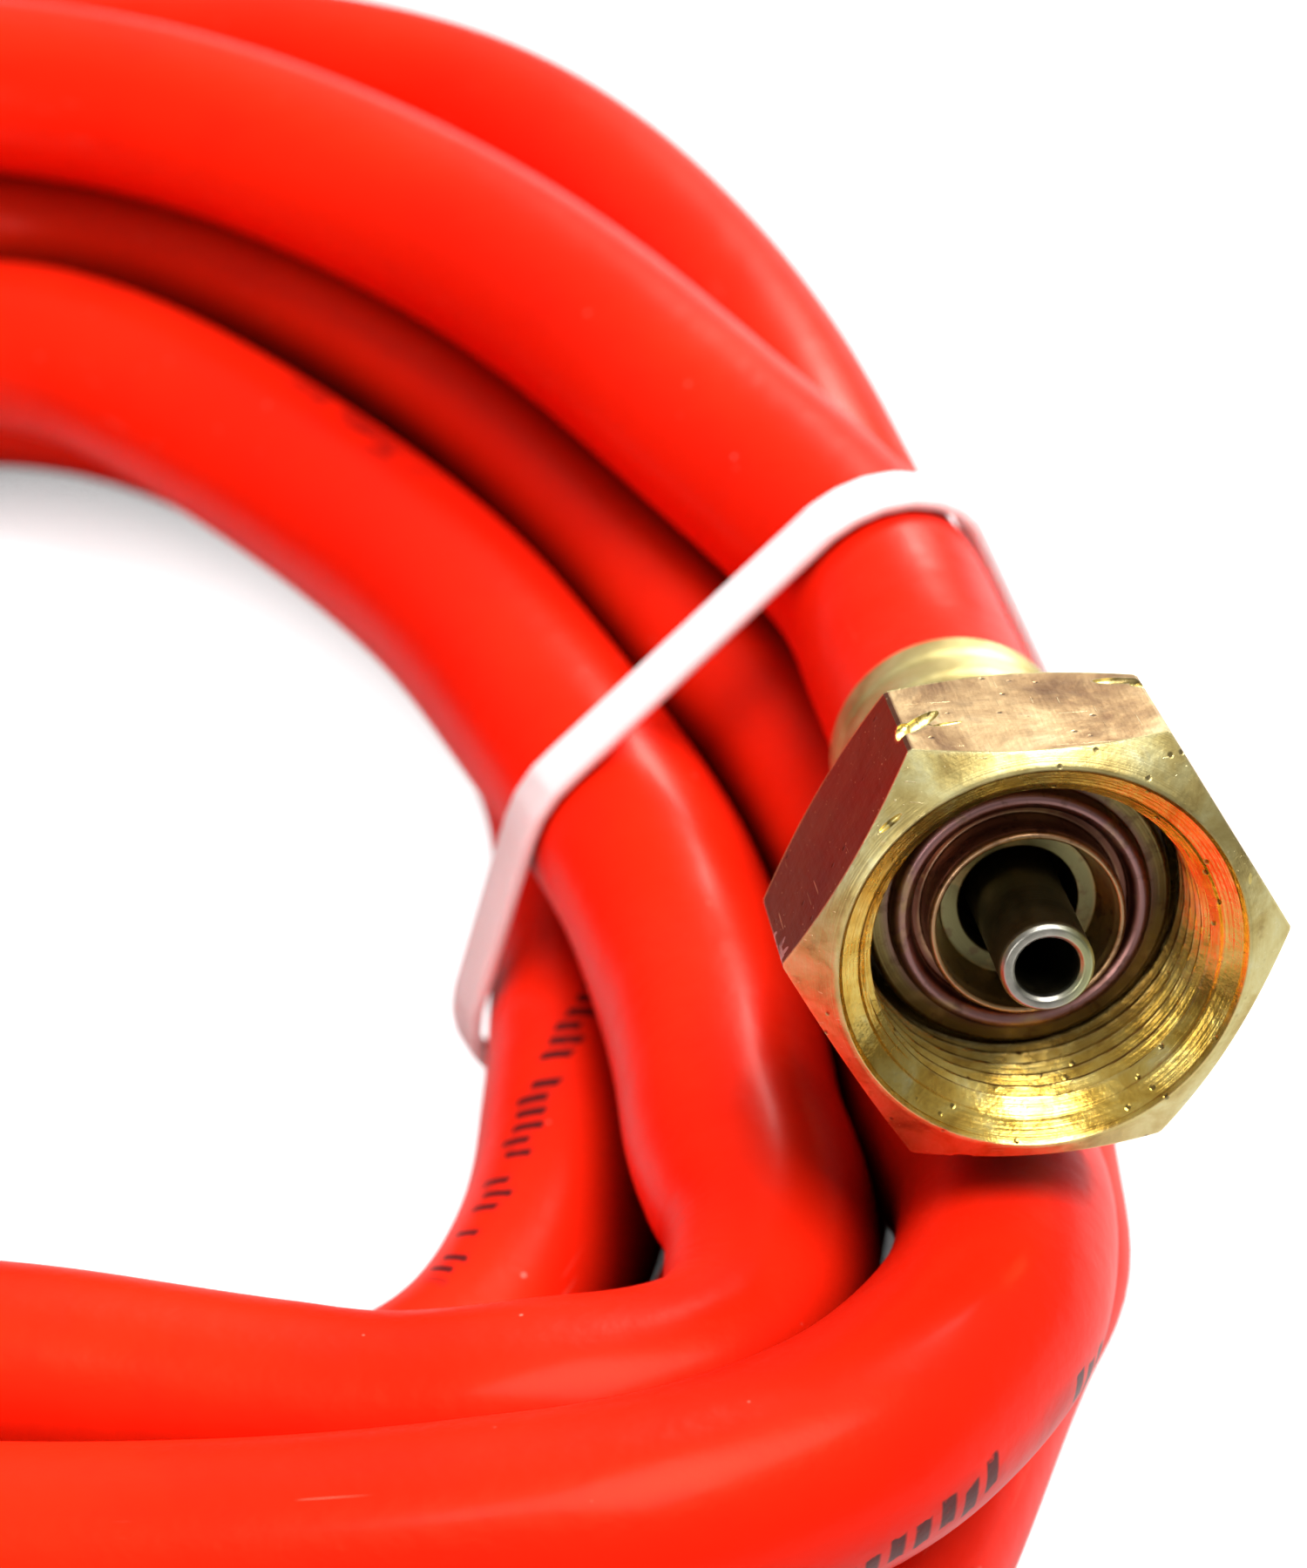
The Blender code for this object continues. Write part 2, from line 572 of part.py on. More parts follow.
# ------------------------------------------------------------------- assembly
rings = coil_rings(hose_path())
tube("hose_cover", HOSE_OD, COVER_IN, COVER_SIDES, COVER, rings)
tube("hose_braid", BRAID_OUT, BRAID_IN, INNER_SIDES, BRAID, rings)
tube("hose_liner", LINER_OUT, LINER_IN, INNER_SIDES, LINER, rings)

for end_tag, end_frame in (("a", END_A), ("b", END_B)):
    empty = end_empty("END_" + end_tag.upper(), *end_frame)
    for build in (union_nut, slip_ring, nipple, stem_tube, ferrule):
        build(end_tag, empty)

for tie_name, tie_point, tie_degrees in STRAP_PLANES:
    strap(tie_name, tie_point, tie_degrees, rings)

# move the layout so that FOOT lands on the world origin
for ob in bpy.data.objects:
    if ob.parent is None:
        ob.location -= Vector(FOOT) * MM

bpy.context.view_layer.update()
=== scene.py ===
"""Coiled gas hose with two union-nut fittings and two nylon cable ties.

The hose is laid out in millimetres about the axis of its coil, Z up; ORIGIN is the
point of that layout that becomes the world origin.  Fitting A rises at the front
right, its mouth facing -Y and slightly up.  Fitting B lies level at the back left.
Each fitting is built in its own frame: +Z out of the mouth, mouth plane at z = 0,
X level, and distances "behind the mouth" run towards -Z.
"""
import math
from types import SimpleNamespace

import bmesh
import bpy
import numpy as np
from mathutils import Matrix, Vector


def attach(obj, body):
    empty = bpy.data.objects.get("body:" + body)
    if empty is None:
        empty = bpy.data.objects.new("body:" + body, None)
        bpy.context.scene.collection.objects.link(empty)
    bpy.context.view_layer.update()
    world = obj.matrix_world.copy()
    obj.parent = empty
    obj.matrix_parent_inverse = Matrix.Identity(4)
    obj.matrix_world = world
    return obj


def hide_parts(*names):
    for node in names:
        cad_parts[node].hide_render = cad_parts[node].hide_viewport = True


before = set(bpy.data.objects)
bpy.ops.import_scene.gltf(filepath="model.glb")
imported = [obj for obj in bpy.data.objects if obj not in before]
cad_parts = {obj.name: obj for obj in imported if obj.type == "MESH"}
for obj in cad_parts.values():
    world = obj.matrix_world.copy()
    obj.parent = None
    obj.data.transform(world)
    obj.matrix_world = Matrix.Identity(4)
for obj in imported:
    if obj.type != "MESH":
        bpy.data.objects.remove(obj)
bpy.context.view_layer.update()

MM = 0.001

# ------------------------------------------------------------- dimensions, mm
HOSE_OD = 15.0            # rubber cover outside
COVER_IN = 11.6           # rubber cover inside
BRAID_OUT, BRAID_IN = 10.9, 10.3
LINER_OUT, LINER_IN = 10.0, 8.2
HOSE_RINGS = 2300         # cross-sections along the cover
INNER_RINGS = 700         # and along the braid and the liner
STRAND_GAP = 0.45         # kept between neighbouring turns
FLOOR_GAP = 1.5           # the straps pass under the bottom layer

NUT_AF = 27.0             # across flats
NUT_CORNER = NUT_AF / math.sqrt(3.0)     # centre to corner
NUT_LEN = 13.4
NUT_FACE = NUT_AF / 2 - 0.88             # radius where the end chamfers start
CHAMFER_SLOPE = 0.727     # drop along the nut for each unit of radius
THREAD_MINOR = 20.4       # left-hand internal thread
THREAD_HEIGHT = 0.80
THREAD_PITCH = 1.5
NUT_SHOULDER = 11.6       # inner shoulder behind the slip ring
NUT_NECK_BORE = 11.6

HOSE_END = 20.2           # hose end face behind the mouth plane
FERRULE_FROM, FERRULE_TO = 18.0, 33.0
STRAIGHT_TO = 40.0        # the hose leaves each fitting straight this far

STRAP_W, STRAP_T = 3.6, 1.1
STRAP_GAP = 0.35

# middle of the finished footprint and its lowest point
ORIGIN = np.array((-8.48, 7.40, 0.05))

# fitting A: mouth point and outward axis
MOUTH_A = np.array([75.5, -51.2, 51.7])
AXIS_A = np.array([0.100, -0.942, 0.317])
# fitting B runs level along a tangent of the coil
ANGLE_B, RADIUS_B, HEIGHT_B = 125.0, 109.0, 17.6
OVERHANG_B = 46.0         # tangent point to mouth

# CAD node, a plan point on the strap plane, the plan direction it runs along (degrees)
STRAP_PLANES = (("cable_tie_a", (58.0, -4.5), 26.5),
                ("cable_tie_b", (-30.0, -12.0), 202.0))

# lanes of the coil, from the fitting A end inwards and then down and out:
# (plan angle in degrees, radius, height) of the hose centre
LANES = (
    ((3, 67.5, 36.5), (15, 61.8, 37.5), (28, 59.1, 38), (45, 59.2, 38), (64, 62, 38), (82, 68, 37.5),
     (105, 74, 35.5), (140, 78, 31), (180, 78, 27), (220, 78, 26.5), (255, 77, 28)),
    ((-80, 80.3, 29), (-63, 88.5, 30.5), (-56, 92, 30.5), (-51, 94.3, 30), (-45, 95, 29.5),
     (-39, 92.8, 28), (-33.5, 88, 25.5), (-24, 78.6, 22.6), (-14, 70.5, 21), (0, 62.8, 20.5),
     (20, 57.8, 21.3), (45, 57.6, 21.5), (70, 64.5, 21.5), (95, 73, 22), (140, 70.5, 22.5),
     (180, 66, 22.5), (220, 63, 23), (255, 61, 23)),
    ((-80, 61, 23.5), (-71, 65.4, 23.2), (-62, 73.8, 23), (-55.5, 80.5, 22), (-49.5, 86, 21),
     (-43, 87.3, 20.5), (-36.5, 80, 21), (-29.7, 70.2, 21.5), (-20, 59.5, 21.5), (-10, 51.8, 21.5),
     (10, 43.3, 21.5), (21, 42.4, 21.5), (52, 41.9, 21.5), (75, 48, 21.5), (95, 58, 21.5),
     (120, 58.5, 19), (150, 57, 14), (185, 56, 10), (220, 56, 9), (255, 57, 9)),
    ((-75, 61, 9), (-62, 63, 9), (-50.5, 64.5, 9), (-40, 60.5, 9), (-31.5, 55.8, 9), (-19.5, 51, 9),
     (-5, 49, 9), (20, 47.5, 9), (45, 51, 9), (75, 60.8, 9), (97, 70, 9), (140, 71.5, 9),
     (180, 71.5, 9), (220, 72, 9), (255, 73, 9)),
    ((-75, 77.5, 9), (-62, 80, 9), (-50, 80.5, 9), (-38, 75, 9), (-28, 69.8, 9), (-10, 64.6, 9),
     (15, 63.5, 9), (45, 69, 9), (75, 77.5, 9), (97, 86, 9), (140, 87.5, 9), (180, 87.5, 9),
     (220, 88, 9), (255, 89.5, 9)),
    ((-75, 96, 9), (-57, 99, 9), (-47, 96, 9), (-41, 92.2, 9), (-33, 87.6, 9), (-23, 83.5, 9),
     (-12, 79.5, 9.6), (5, 76, 15), (19, 73.5, 20), (32, 76.5, 22.5), (44, 82.6, 22.5),
     (55, 89.8, 22.5), (66, 98.2, 22.5), (76, 102.8, 22), (98, 107.5, 19)),
)

# where the printed line faces: (coil angle along the path in degrees, direction)
PRINT_FACING = (
    (20.0, (0.3, 0.2, -1.0)), (300.0, (0.5, -0.7, -0.6)), (315.0, (0.72, -0.68, 0.10)),
    (330.0, (0.9, -0.3, -0.3)), (400.0, (0.3, 0.6, -0.7)), (700.0, (-0.2, 0.3, -0.9)),
    (1000.0, (-0.66, -0.30, 0.69)), (1034.0, (-0.63, -0.333, 0.697)),
    (1047.0, (-0.405, -0.537, 0.737)), (1063.0, (0.135, -0.777, 0.615)),
    (1072.0, (0.25, -0.78, 0.57)), (1100.0, (0.2, 0.2, -0.9)), (1500.0, (0.2, 0.2, -0.9)),
    (1900.0, (0.2, 0.2, -0.9)))
# coil angles between which there is print
PRINT_SPANS = ((296.0, 345.0), (1029.0, 1067.0), (500.0, 640.0))
# rubbed patches: (coil angle, facing, half length, half width)
RUBBED = ((405.0, (0.2, 0.3, 0.9), 4.0, 2.2), (768.0, (0.25, 0.15, 0.95), 6.0, 2.0),
          (775.0, (0.35, 0.25, 0.9), 5.0, 1.6))

# ------------------------------------------------- stage, lights and camera
FLOOR_TONE = (0.42, 0.42, 0.42)
FLOOR_GLOW = 1.25         # emission added where the camera sees the floor directly
FLOOR_HALF, FLOOR_Z = 6, -0.0006         # metres
WORLD_LIGHT = 0.36
# rectangular area lights: metres and watts
LIGHTS = (
    dict(name="key_back", at=(0.42, 0.62, 0.62), aim=(0.05, 0.0, 0.02),
         width=0.40, depth=0.25, power=13.0),
    dict(name="top_soft", at=(0.25, -0.15, 0.95), aim=(0.03, 0.0, 0.0),
         width=0.5, depth=0.5, power=11.0),
    dict(name="front_low", at=(-0.35, -0.95, 0.40), aim=(0.03, -0.02, 0.02),
         width=0.30, depth=0.35, power=1.8),
)
CAMERA_AT = np.array((52.09, -206.67, 206.00))     # in the coil layout
CAMERA_TILT = 42.0        # degrees below level, looking towards +Y
CAMERA_LENS, CAMERA_SENSOR = 84.0, 36.0
CAMERA_FSTOP = 26.0
FOCUS_OFFSET = np.array([0.0, -4.0, -4.0])         # from the mouth of fitting A


# ------------------------------------------------------------------ hose path
def unit(v):
    v = np.asarray(v, float)
    return v / np.linalg.norm(v)


def fitting_ends():
    """(mouth point, outward axis) of both fittings."""
    a = math.radians(ANGLE_B)
    foot = np.array([RADIUS_B * math.cos(a), RADIUS_B * math.sin(a), HEIGHT_B])
    axis_b = np.array([-math.sin(a), math.cos(a), 0.0])
    return (MOUTH_A, unit(AXIS_A)), (foot + OVERHANG_B * axis_b, axis_b)


END_A, END_B = fitting_ends()


def run_lengths(points):
    """Distance along a polyline at each of its points."""
    return np.r_[0.0, np.cumsum(np.linalg.norm(np.diff(points, axis=0), axis=1))]


def natural_spline(knots, points, wanted):
    """Natural cubic spline through the rows of points, evaluated at wanted."""
    n = len(knots)
    h = np.diff(knots)
    a = np.zeros((n, n))
    b = np.zeros((n, points.shape[1]))
    a[0, 0] = a[-1, -1] = 1.0
    for i in range(1, n - 1):
        a[i, i - 1], a[i, i], a[i, i + 1] = h[i - 1], 2 * (h[i - 1] + h[i]), h[i]
        b[i] = 6 * ((points[i + 1] - points[i]) / h[i] - (points[i] - points[i - 1]) / h[i - 1])
    m = np.linalg.solve(a, b)
    k = np.clip(np.searchsorted(knots, wanted) - 1, 0, n - 2)
    hk = h[k]
    u = (knots[k + 1] - wanted) / hk
    v = (wanted - knots[k]) / hk
    return (u[:, None] * points[k] + v[:, None] * points[k + 1]
            + ((u ** 3 - u)[:, None] * m[k] + (v ** 3 - v)[:, None] * m[k + 1])
            * (hk ** 2)[:, None] / 6)


def even(points, count):
    """Evenly spaced points along a polyline, and its length."""
    run = run_lengths(points)
    wanted = np.linspace(0.0, run[-1], count)
    return np.stack([np.interp(wanted, run, points[:, k]) for k in range(3)], 1), run[-1]


def lane_path(count):
    """Spline from fitting A through every lane to fitting B."""
    (mouth_a, axis_a), (mouth_b, axis_b) = END_A, END_B
    stations = (HOSE_END, 26.0, 33.0, STRAIGHT_TO)
    points = [mouth_a - axis_a * s for s in stations]
    for lane in LANES:
        for degrees, radius, z in lane:
            a = math.radians(degrees)
            points.append(np.array([radius * math.cos(a), radius * math.sin(a), z]))
    points += [mouth_b - axis_b * s for s in reversed(stations)]
    points = np.array(points)
    spans = np.linalg.norm(np.diff(points, axis=0), axis=1)
    knots = np.r_[0.0, np.cumsum(spans ** 0.75)]
    return even(natural_spline(knots, points, np.linspace(0.0, knots[-1], 5000)), count)


def relaxed_path(count=560, rounds=420):
    """Lane path whose neighbouring turns are pushed apart until they clear."""
    (mouth_a, axis_a), (mouth_b, axis_b) = END_A, END_B
    path, length = lane_path(count)
    start = path.copy()
    step = length / (count - 1)
    index = np.arange(count)
    # points closer than this along the hose do not push each other
    skip = int(40.0 / step) + 1
    far = np.abs(index[:, None] - index[None]) > skip
    need = HOSE_OD + STRAND_GAP
    # both ends are held straight in their fittings
    lock = int(15.0 / step) + 1
    run = (HOSE_END + step * np.arange(lock))[:, None]
    start[:lock] = mouth_a - axis_a * run
    start[-lock:] = (mouth_b - axis_b * run)[::-1]
    lowest = HOSE_OD / 2 + FLOOR_GAP
    nut_clear = NUT_CORNER + HOSE_OD / 2 + 0.35
    near_ends = index < 3 * skip, index > count - 1 - 3 * skip
    for turn in range(rounds):
        # smoothing weight and pull back to the lanes, both weaker at the end
        soft, hold = (0.2, 0.016) if turn < rounds * 0.7 else (0.08, 0.006)
        apart = path[:, None] - path[None]
        gap = np.linalg.norm(apart, axis=2) + 1e-9
        push = np.where(far & (gap < need), (need - gap) / gap, 0.0)
        path = path + (apart * push[:, :, None]).sum(1) * 0.4
        for (mouth, axis), own in zip((END_A, END_B), near_ends):
            s = (path - mouth) @ axis
            foot = mouth + np.clip(s, -17.2, -0.4)[:, None] * axis
            away = path - foot
            gap = np.linalg.norm(away, axis=1) + 1e-9
            push = np.where(~own & (gap < nut_clear), (nut_clear - gap) / gap, 0.0)
            path = path + away * push[:, None] * 0.5
        smooth = path.copy()
        smooth[1:-1] = 0.25 * path[:-2] + 0.5 * path[1:-1] + 0.25 * path[2:]
        path = path + soft * (smooth - path) + hold * (start - path)
        path[:, 2] = np.maximum(path[:, 2], lowest)
        path[:lock] = start[:lock]
        path[-lock:] = start[-lock:]
    return path


def sweep_frames(points):
    """Tangents and a slowly turning normal and binormal along the path."""
    tangent = np.gradient(points, axis=0)
    tangent /= np.linalg.norm(tangent, axis=1)[:, None]
    normal = np.zeros_like(points)
    n = np.cross(tangent[0], (1.0, 0.0, 0.0))
    n /= np.linalg.norm(n)
    for i in range(len(points)):
        n = n - (n @ tangent[i]) * tangent[i]
        n /= np.linalg.norm(n)
        normal[i] = n
    return tangent, normal, np.cross(tangent, normal)


def build_centreline():
    """Hose centreline with, at each ring, its frame, bend vector (1/mm), distance
    along the hose and plan angle counted on through the turns."""
    coarse = relaxed_path()
    knots = np.arange(len(coarse), dtype=float)
    fine = natural_spline(knots, coarse, np.linspace(0, len(coarse) - 1, 9000))
    points, length = even(fine, HOSE_RINGS)
    (mouth_a, axis_a), (mouth_b, axis_b) = END_A, END_B
    points[0], points[-1] = mouth_a - axis_a * HOSE_END, mouth_b - axis_b * HOSE_END
    tangent, normal, binormal = sweep_frames(points)
    tangent[0], tangent[-1] = -axis_a, axis_b
    spacing = np.linalg.norm(np.gradient(points, axis=0), axis=1)
    bend = np.gradient(tangent, axis=0) / spacing[:, None]
    window = np.ones(15) / 15
    bend = np.stack([np.convolve(bend[:, k], window, mode="same") for k in range(3)], 1)
    return SimpleNamespace(
        points=points, normal=normal, binormal=binormal, bend=bend,
        run=np.linspace(0.0, length, HOSE_RINGS),
        angle=np.degrees(np.unwrap(np.arctan2(points[:, 1], points[:, 0]))))


# ------------------------------------------------------------------ mesh tools
def new_object(name, mesh, material=None):
    ob = bpy.data.objects.new(name, mesh)
    bpy.context.scene.collection.objects.link(ob)
    if material:
        mesh.materials.clear()
        mesh.materials.append(material)
    return ob


def mesh_from(name, verts, faces, smooth=True):
    mesh = bpy.data.meshes.new(name)
    mesh.from_pydata([tuple(v) for v in verts], [], faces)
    mesh.validate()
    if smooth:
        mesh.polygons.foreach_set("use_smooth", [True] * len(mesh.polygons))
    mesh.update()
    return mesh


def mesh_from_bmesh(name, bm):
    mesh = bpy.data.meshes.new(name)
    bm.to_mesh(mesh)
    bm.free()
    return mesh


def recalc(mesh):
    """Point all face normals outwards."""
    bm = bmesh.new()
    bm.from_mesh(mesh)
    bmesh.ops.recalc_face_normals(bm, faces=bm.faces[:])
    bm.to_mesh(mesh)
    bm.free()
    mesh.update()
    return mesh


def sharpen(mesh, degrees):
    """Smooth shading with sharp edges above an angle."""
    mesh.polygons.foreach_set("use_smooth", [True] * len(mesh.polygons))
    mesh.set_sharp_from_angle(angle=math.radians(degrees))
    return mesh


def frame_matrix(x_axis, y_axis, z_axis, place):
    """World matrix from three axes and a place in millimetres."""
    matrix = Matrix.Identity(4)
    for r in range(3):
        for c, axis in enumerate((x_axis, y_axis, z_axis)):
            matrix[r][c] = float(axis[r])
        matrix[r][3] = float(place[r]) * MM
    return matrix


def rounded(profile, radius, steps=4):
    """Closed profile with a Bezier blend at each corner."""
    points = [np.array(p, float) for p in profile]
    out = []
    for i, p in enumerate(points):
        before, after = points[i - 1], points[(i + 1) % len(points)]
        len_before, len_after = np.linalg.norm(before - p), np.linalg.norm(after - p)
        r = min(radius, len_before * 0.42, len_after * 0.42)
        start, end = p + (before - p) / len_before * r, p + (after - p) / len_after * r
        for k in range(steps + 1):
            t = k / steps
            out.append((1 - t) ** 2 * start + 2 * t * (1 - t) * p + t * t * end)
    return out


def lathe(name, profile, segments, wobble=None):
    """Closed profile of (radius, distance behind the mouth) spun about local Z."""
    n = len(profile)
    verts, faces = [], []
    for j in range(segments):
        a = 2 * math.pi * j / segments
        for r, s in profile:
            rr = r + (wobble(a, s, r) if wobble else 0.0)
            verts.append((rr * MM * math.cos(a), rr * MM * math.sin(a), -s * MM))
    for j in range(segments):
        k = (j + 1) % segments
        for i in range(n):
            m = (i + 1) % n
            faces.append((j * n + i, k * n + i, k * n + m, j * n + m))
    return recalc(mesh_from(name, verts, faces))


def boolean(ob, others, operation):
    """Apply exact booleans with the other objects, then remove those."""
    for other in others:
        modifier = ob.modifiers.new("b", "BOOLEAN")
        modifier.operation = operation
        modifier.solver = "EXACT"
        modifier.object = other
    bpy.context.view_layer.update()
    graph = bpy.context.evaluated_depsgraph_get()
    mesh = bpy.data.meshes.new_from_object(ob.evaluated_get(graph))
    ob.modifiers.clear()
    ob.data = mesh
    for other in others:
        bpy.data.objects.remove(other, do_unlink=True)


def bevelled_box(name, size, centre, **bevel):
    """Box mesh, millimetres, with all its edges bevelled."""
    place = Matrix.Translation([c * MM for c in centre])
    scale = Matrix.Diagonal((*(s * MM for s in size), 1.0))
    bm = bmesh.new()
    bmesh.ops.create_cube(bm, size=1.0, matrix=place @ scale)
    bmesh.ops.bevel(bm, geom=bm.edges[:], affect="EDGES", **bevel)
    return mesh_from_bmesh(name, bm)


def dress(ob, body, node=None):
    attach(ob, body)
    if node:
        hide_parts(node)


# -------------------------------------------------------------- node materials
class Signal:
    """Output of a shader node; arithmetic on it adds Math nodes."""

    def __init__(self, material, socket):
        self.material, self.socket = material, socket

    def __add__(self, other):
        return self.material.math("ADD", self, other)

    def __sub__(self, other):
        return self.material.math("SUBTRACT", self, other)

    def __rsub__(self, other):
        return self.material.math("SUBTRACT", other, self)

    def __mul__(self, other):
        return self.material.math("MULTIPLY", self, other)

    def __truediv__(self, other):
        return self.material.math("DIVIDE", self, other)

    def __pow__(self, other):
        return self.material.math("POWER", self, other)

    def __gt__(self, other):
        return self.material.math("GREATER_THAN", self, other)

    def __lt__(self, other):
        return self.material.math("LESS_THAN", self, other)

    def __abs__(self):
        return self.material.math("ABSOLUTE", self)


class Mat:
    """Material whose methods add shader nodes and return their Signals."""

    INPUTS = {"color": "Base Color", "metal": "Metallic", "rough": "Roughness",
              "normal": "Normal", "coat": "Coat Weight", "coat_rough": "Coat Roughness",
              "spec": "Specular IOR Level", "spec_tint": "Specular Tint",
              "sss": "Subsurface Weight", "sss_scale": "Subsurface Scale",
              "sss_radius": "Subsurface Radius", "sheen": "Sheen Weight", "ior": "IOR",
              "trans": "Transmission Weight"}

    def __init__(self, name):
        self.material = bpy.data.materials.new(name)
        self.material.use_nodes = True
        self.tree = self.material.node_tree
        self.principled = self.tree.nodes.get("Principled BSDF")
        self.output = self.tree.nodes.get("Material Output")

    def node(self, kind, **props):
        n = self.tree.nodes.new(kind)
        for k, v in props.items():
            setattr(n, k, v)
        return n

    def put(self, socket, value):
        """Link a signal or socket into an input, or set its value."""
        if isinstance(value, Signal):
            value = value.socket
        if isinstance(value, bpy.types.NodeSocket):
            self.tree.links.new(value, socket)
        else:
            if socket.type == "RGBA" and len(value) == 3:
                value = (*value, 1.0)
            socket.default_value = value

    def out(self, node, key=0):
        return Signal(self, node.outputs[key])

    def coords(self):
        return self.out(self.node("ShaderNodeTexCoord"), "Object")

    def attr(self, name):
        return self.out(self.node("ShaderNodeAttribute", attribute_name=name), "Fac")

    def uv(self, name):
        return self.out(self.node("ShaderNodeUVMap", uv_map=name), "UV")

    def mapped(self, vector, scale, turn=0.0):
        """Vector scaled, and turned about Z by radians."""
        n = self.node("ShaderNodeMapping")
        self.put(n.inputs["Vector"], vector)
        n.inputs["Rotation"].default_value = (0, 0, turn)
        n.inputs["Scale"].default_value = scale
        return self.out(n)

    def noise(self, vector, scale=1.0, detail=4.0, rough=0.55, distort=0.0):
        n = self.node("ShaderNodeTexNoise", noise_dimensions="3D")
        self.put(n.inputs["Vector"], vector)
        n.inputs["Scale"].default_value = scale
        n.inputs["Detail"].default_value = detail
        n.inputs["Roughness"].default_value = rough
        n.inputs["Distortion"].default_value = distort
        return self.out(n, "Fac")

    def cells(self, vector, scale):
        """Voronoi cells: distance to the centre and three random values per cell."""
        n = self.node("ShaderNodeTexVoronoi")
        self.put(n.inputs["Vector"], vector)
        n.inputs["Scale"].default_value = scale
        return self.out(n, "Distance"), self.split(self.out(n, "Color"))

    def white(self, dimensions, key, value):
        """White noise driven by the input named key."""
        n = self.node("ShaderNodeTexWhiteNoise", noise_dimensions=dimensions)
        self.put(n.inputs[key], value)
        return self.out(n, "Value")

    def math(self, op, a, b=0.0, c=0.0, clamp=False):
        n = self.node("ShaderNodeMath", operation=op, use_clamp=clamp)
        for socket, value in zip(n.inputs, (a, b, c)):
            self.put(socket, value)
        return self.out(n)

    def muladd(self, value, times, plus):
        return self.math("MULTIPLY_ADD", value, times, plus)

    def maximum(self, a, b):
        return self.math("MAXIMUM", a, b)

    def radius(self, x, y):
        return self.math("SQRT", x * x + y * y)

    def ramp(self, fac, *stops):
        """Colour ramp through (position, colour) stops."""
        n = self.node("ShaderNodeValToRGB")
        elements = n.color_ramp.elements
        while len(elements) < len(stops):
            elements.new(0.5)
        for element, (position, colour) in zip(elements, stops):
            element.position = position
            element.color = (*colour, 1.0)
        self.put(n.inputs[0], fac)
        return self.out(n)

    def step(self, value, lo, hi):
        """Smooth step from 0 at lo to 1 at hi; lo may be the larger."""
        n = self.node("ShaderNodeMapRange", interpolation_type="SMOOTHSTEP")
        self.put(n.inputs["Value"], value)
        n.inputs["From Min"].default_value = lo
        n.inputs["From Max"].default_value = hi
        return self.out(n)

    def mix(self, fac, a, b):
        n = self.node("ShaderNodeMix", data_type="RGBA", blend_type="MIX")
        for index, value in ((0, fac), (6, a), (7, b)):
            self.put(n.inputs[index], value)
        return self.out(n, 2)

    def tint(self, base, colour, mask, amount):
        """Base mixed towards a colour by mask times amount."""
        return self.mix(mask * amount, base, colour)

    def bump(self, height, strength, distance, normal=None):
        """Relief; distance in metres, normal is the relief beneath."""
        n = self.node("ShaderNodeBump")
        n.inputs["Strength"].default_value = strength
        n.inputs["Distance"].default_value = distance
        self.put(n.inputs["Height"], height)
        if normal is not None:
            self.put(n.inputs["Normal"], normal)
        return self.out(n)

    def split(self, vector):
        n = self.node("ShaderNodeSeparateXYZ")
        self.put(n.inputs[0], vector)
        return [self.out(n, k) for k in range(3)]

    def join(self, *values):
        n = self.node("ShaderNodeCombineXYZ")
        for socket, value in zip(n.inputs, values):
            self.put(socket, value)
        return self.out(n)

    def occlusion(self, distance):
        n = self.node("ShaderNodeAmbientOcclusion", samples=6)
        n.inputs["Distance"].default_value = distance
        return self.out(n, "AO")

    def edge(self, radius):
        """0 on flats, towards 1 on convex or concave edges."""
        bevel = self.node("ShaderNodeBevel", samples=4)
        bevel.inputs["Radius"].default_value = radius
        geometry = self.node("ShaderNodeNewGeometry")
        dot = self.node("ShaderNodeVectorMath", operation="DOT_PRODUCT")
        self.put(dot.inputs[0], bevel.outputs[0])
        self.put(dot.inputs[1], geometry.outputs["Normal"])
        return self.math("SUBTRACT", 1.0, self.out(dot, "Value"), clamp=True)

    def set(self, **values):
        for key, value in values.items():
            self.put(self.principled.inputs[self.INPUTS[key]], value)
        return self.material


def scuffs(m, uv, turn, scale, threshold):
    """Short scratches slanted across the hose."""
    n = m.noise(m.mapped(uv, scale, turn), detail=1.0, rough=0.5)
    return m.step(n, lo=threshold, hi=threshold + 0.02)


def printed_marks(m, uv, ink_v):
    """Ticks and dashes in a line along the hose; ink_v is mm across that line."""
    pitch = 1.40                         # mm from mark to mark
    cell = m.split(uv)[0] * (1000.0 / pitch)
    index = m.math("FLOOR", cell)
    within = m.math("FRACT", cell)
    kind, nudge = (m.white("2D", "Vector", m.join(index, seed, 0.0)) for seed in (3.0, 11.0))
    half_height = m.muladd(kind, times=0.60, plus=0.90)
    shift = m.muladd(nudge, times=0.8, plus=-0.4)
    wobble = (m.noise(uv, scale=900.0, detail=2.0) - 0.5) * 0.9
    across = abs(ink_v + wobble - shift)
    bar = m.step(across, lo=1.40, hi=1.10) * (
        m.step(within, lo=0.04, hi=0.16) * m.step(within, lo=0.78, hi=0.62))
    height_scale = 1.0
    bar = bar * (across * height_scale < half_height)
    # leave out some groups of five marks, and some single marks
    group = m.white("1D", "W", m.math("FLOOR", index / 5.0))
    bar = bar * (group > 0.07)
    bar = bar * (kind > 0.05)
    return bar * m.step(m.noise(uv, scale=1500.0, detail=3.0, rough=0.6), lo=0.16, hi=0.42)


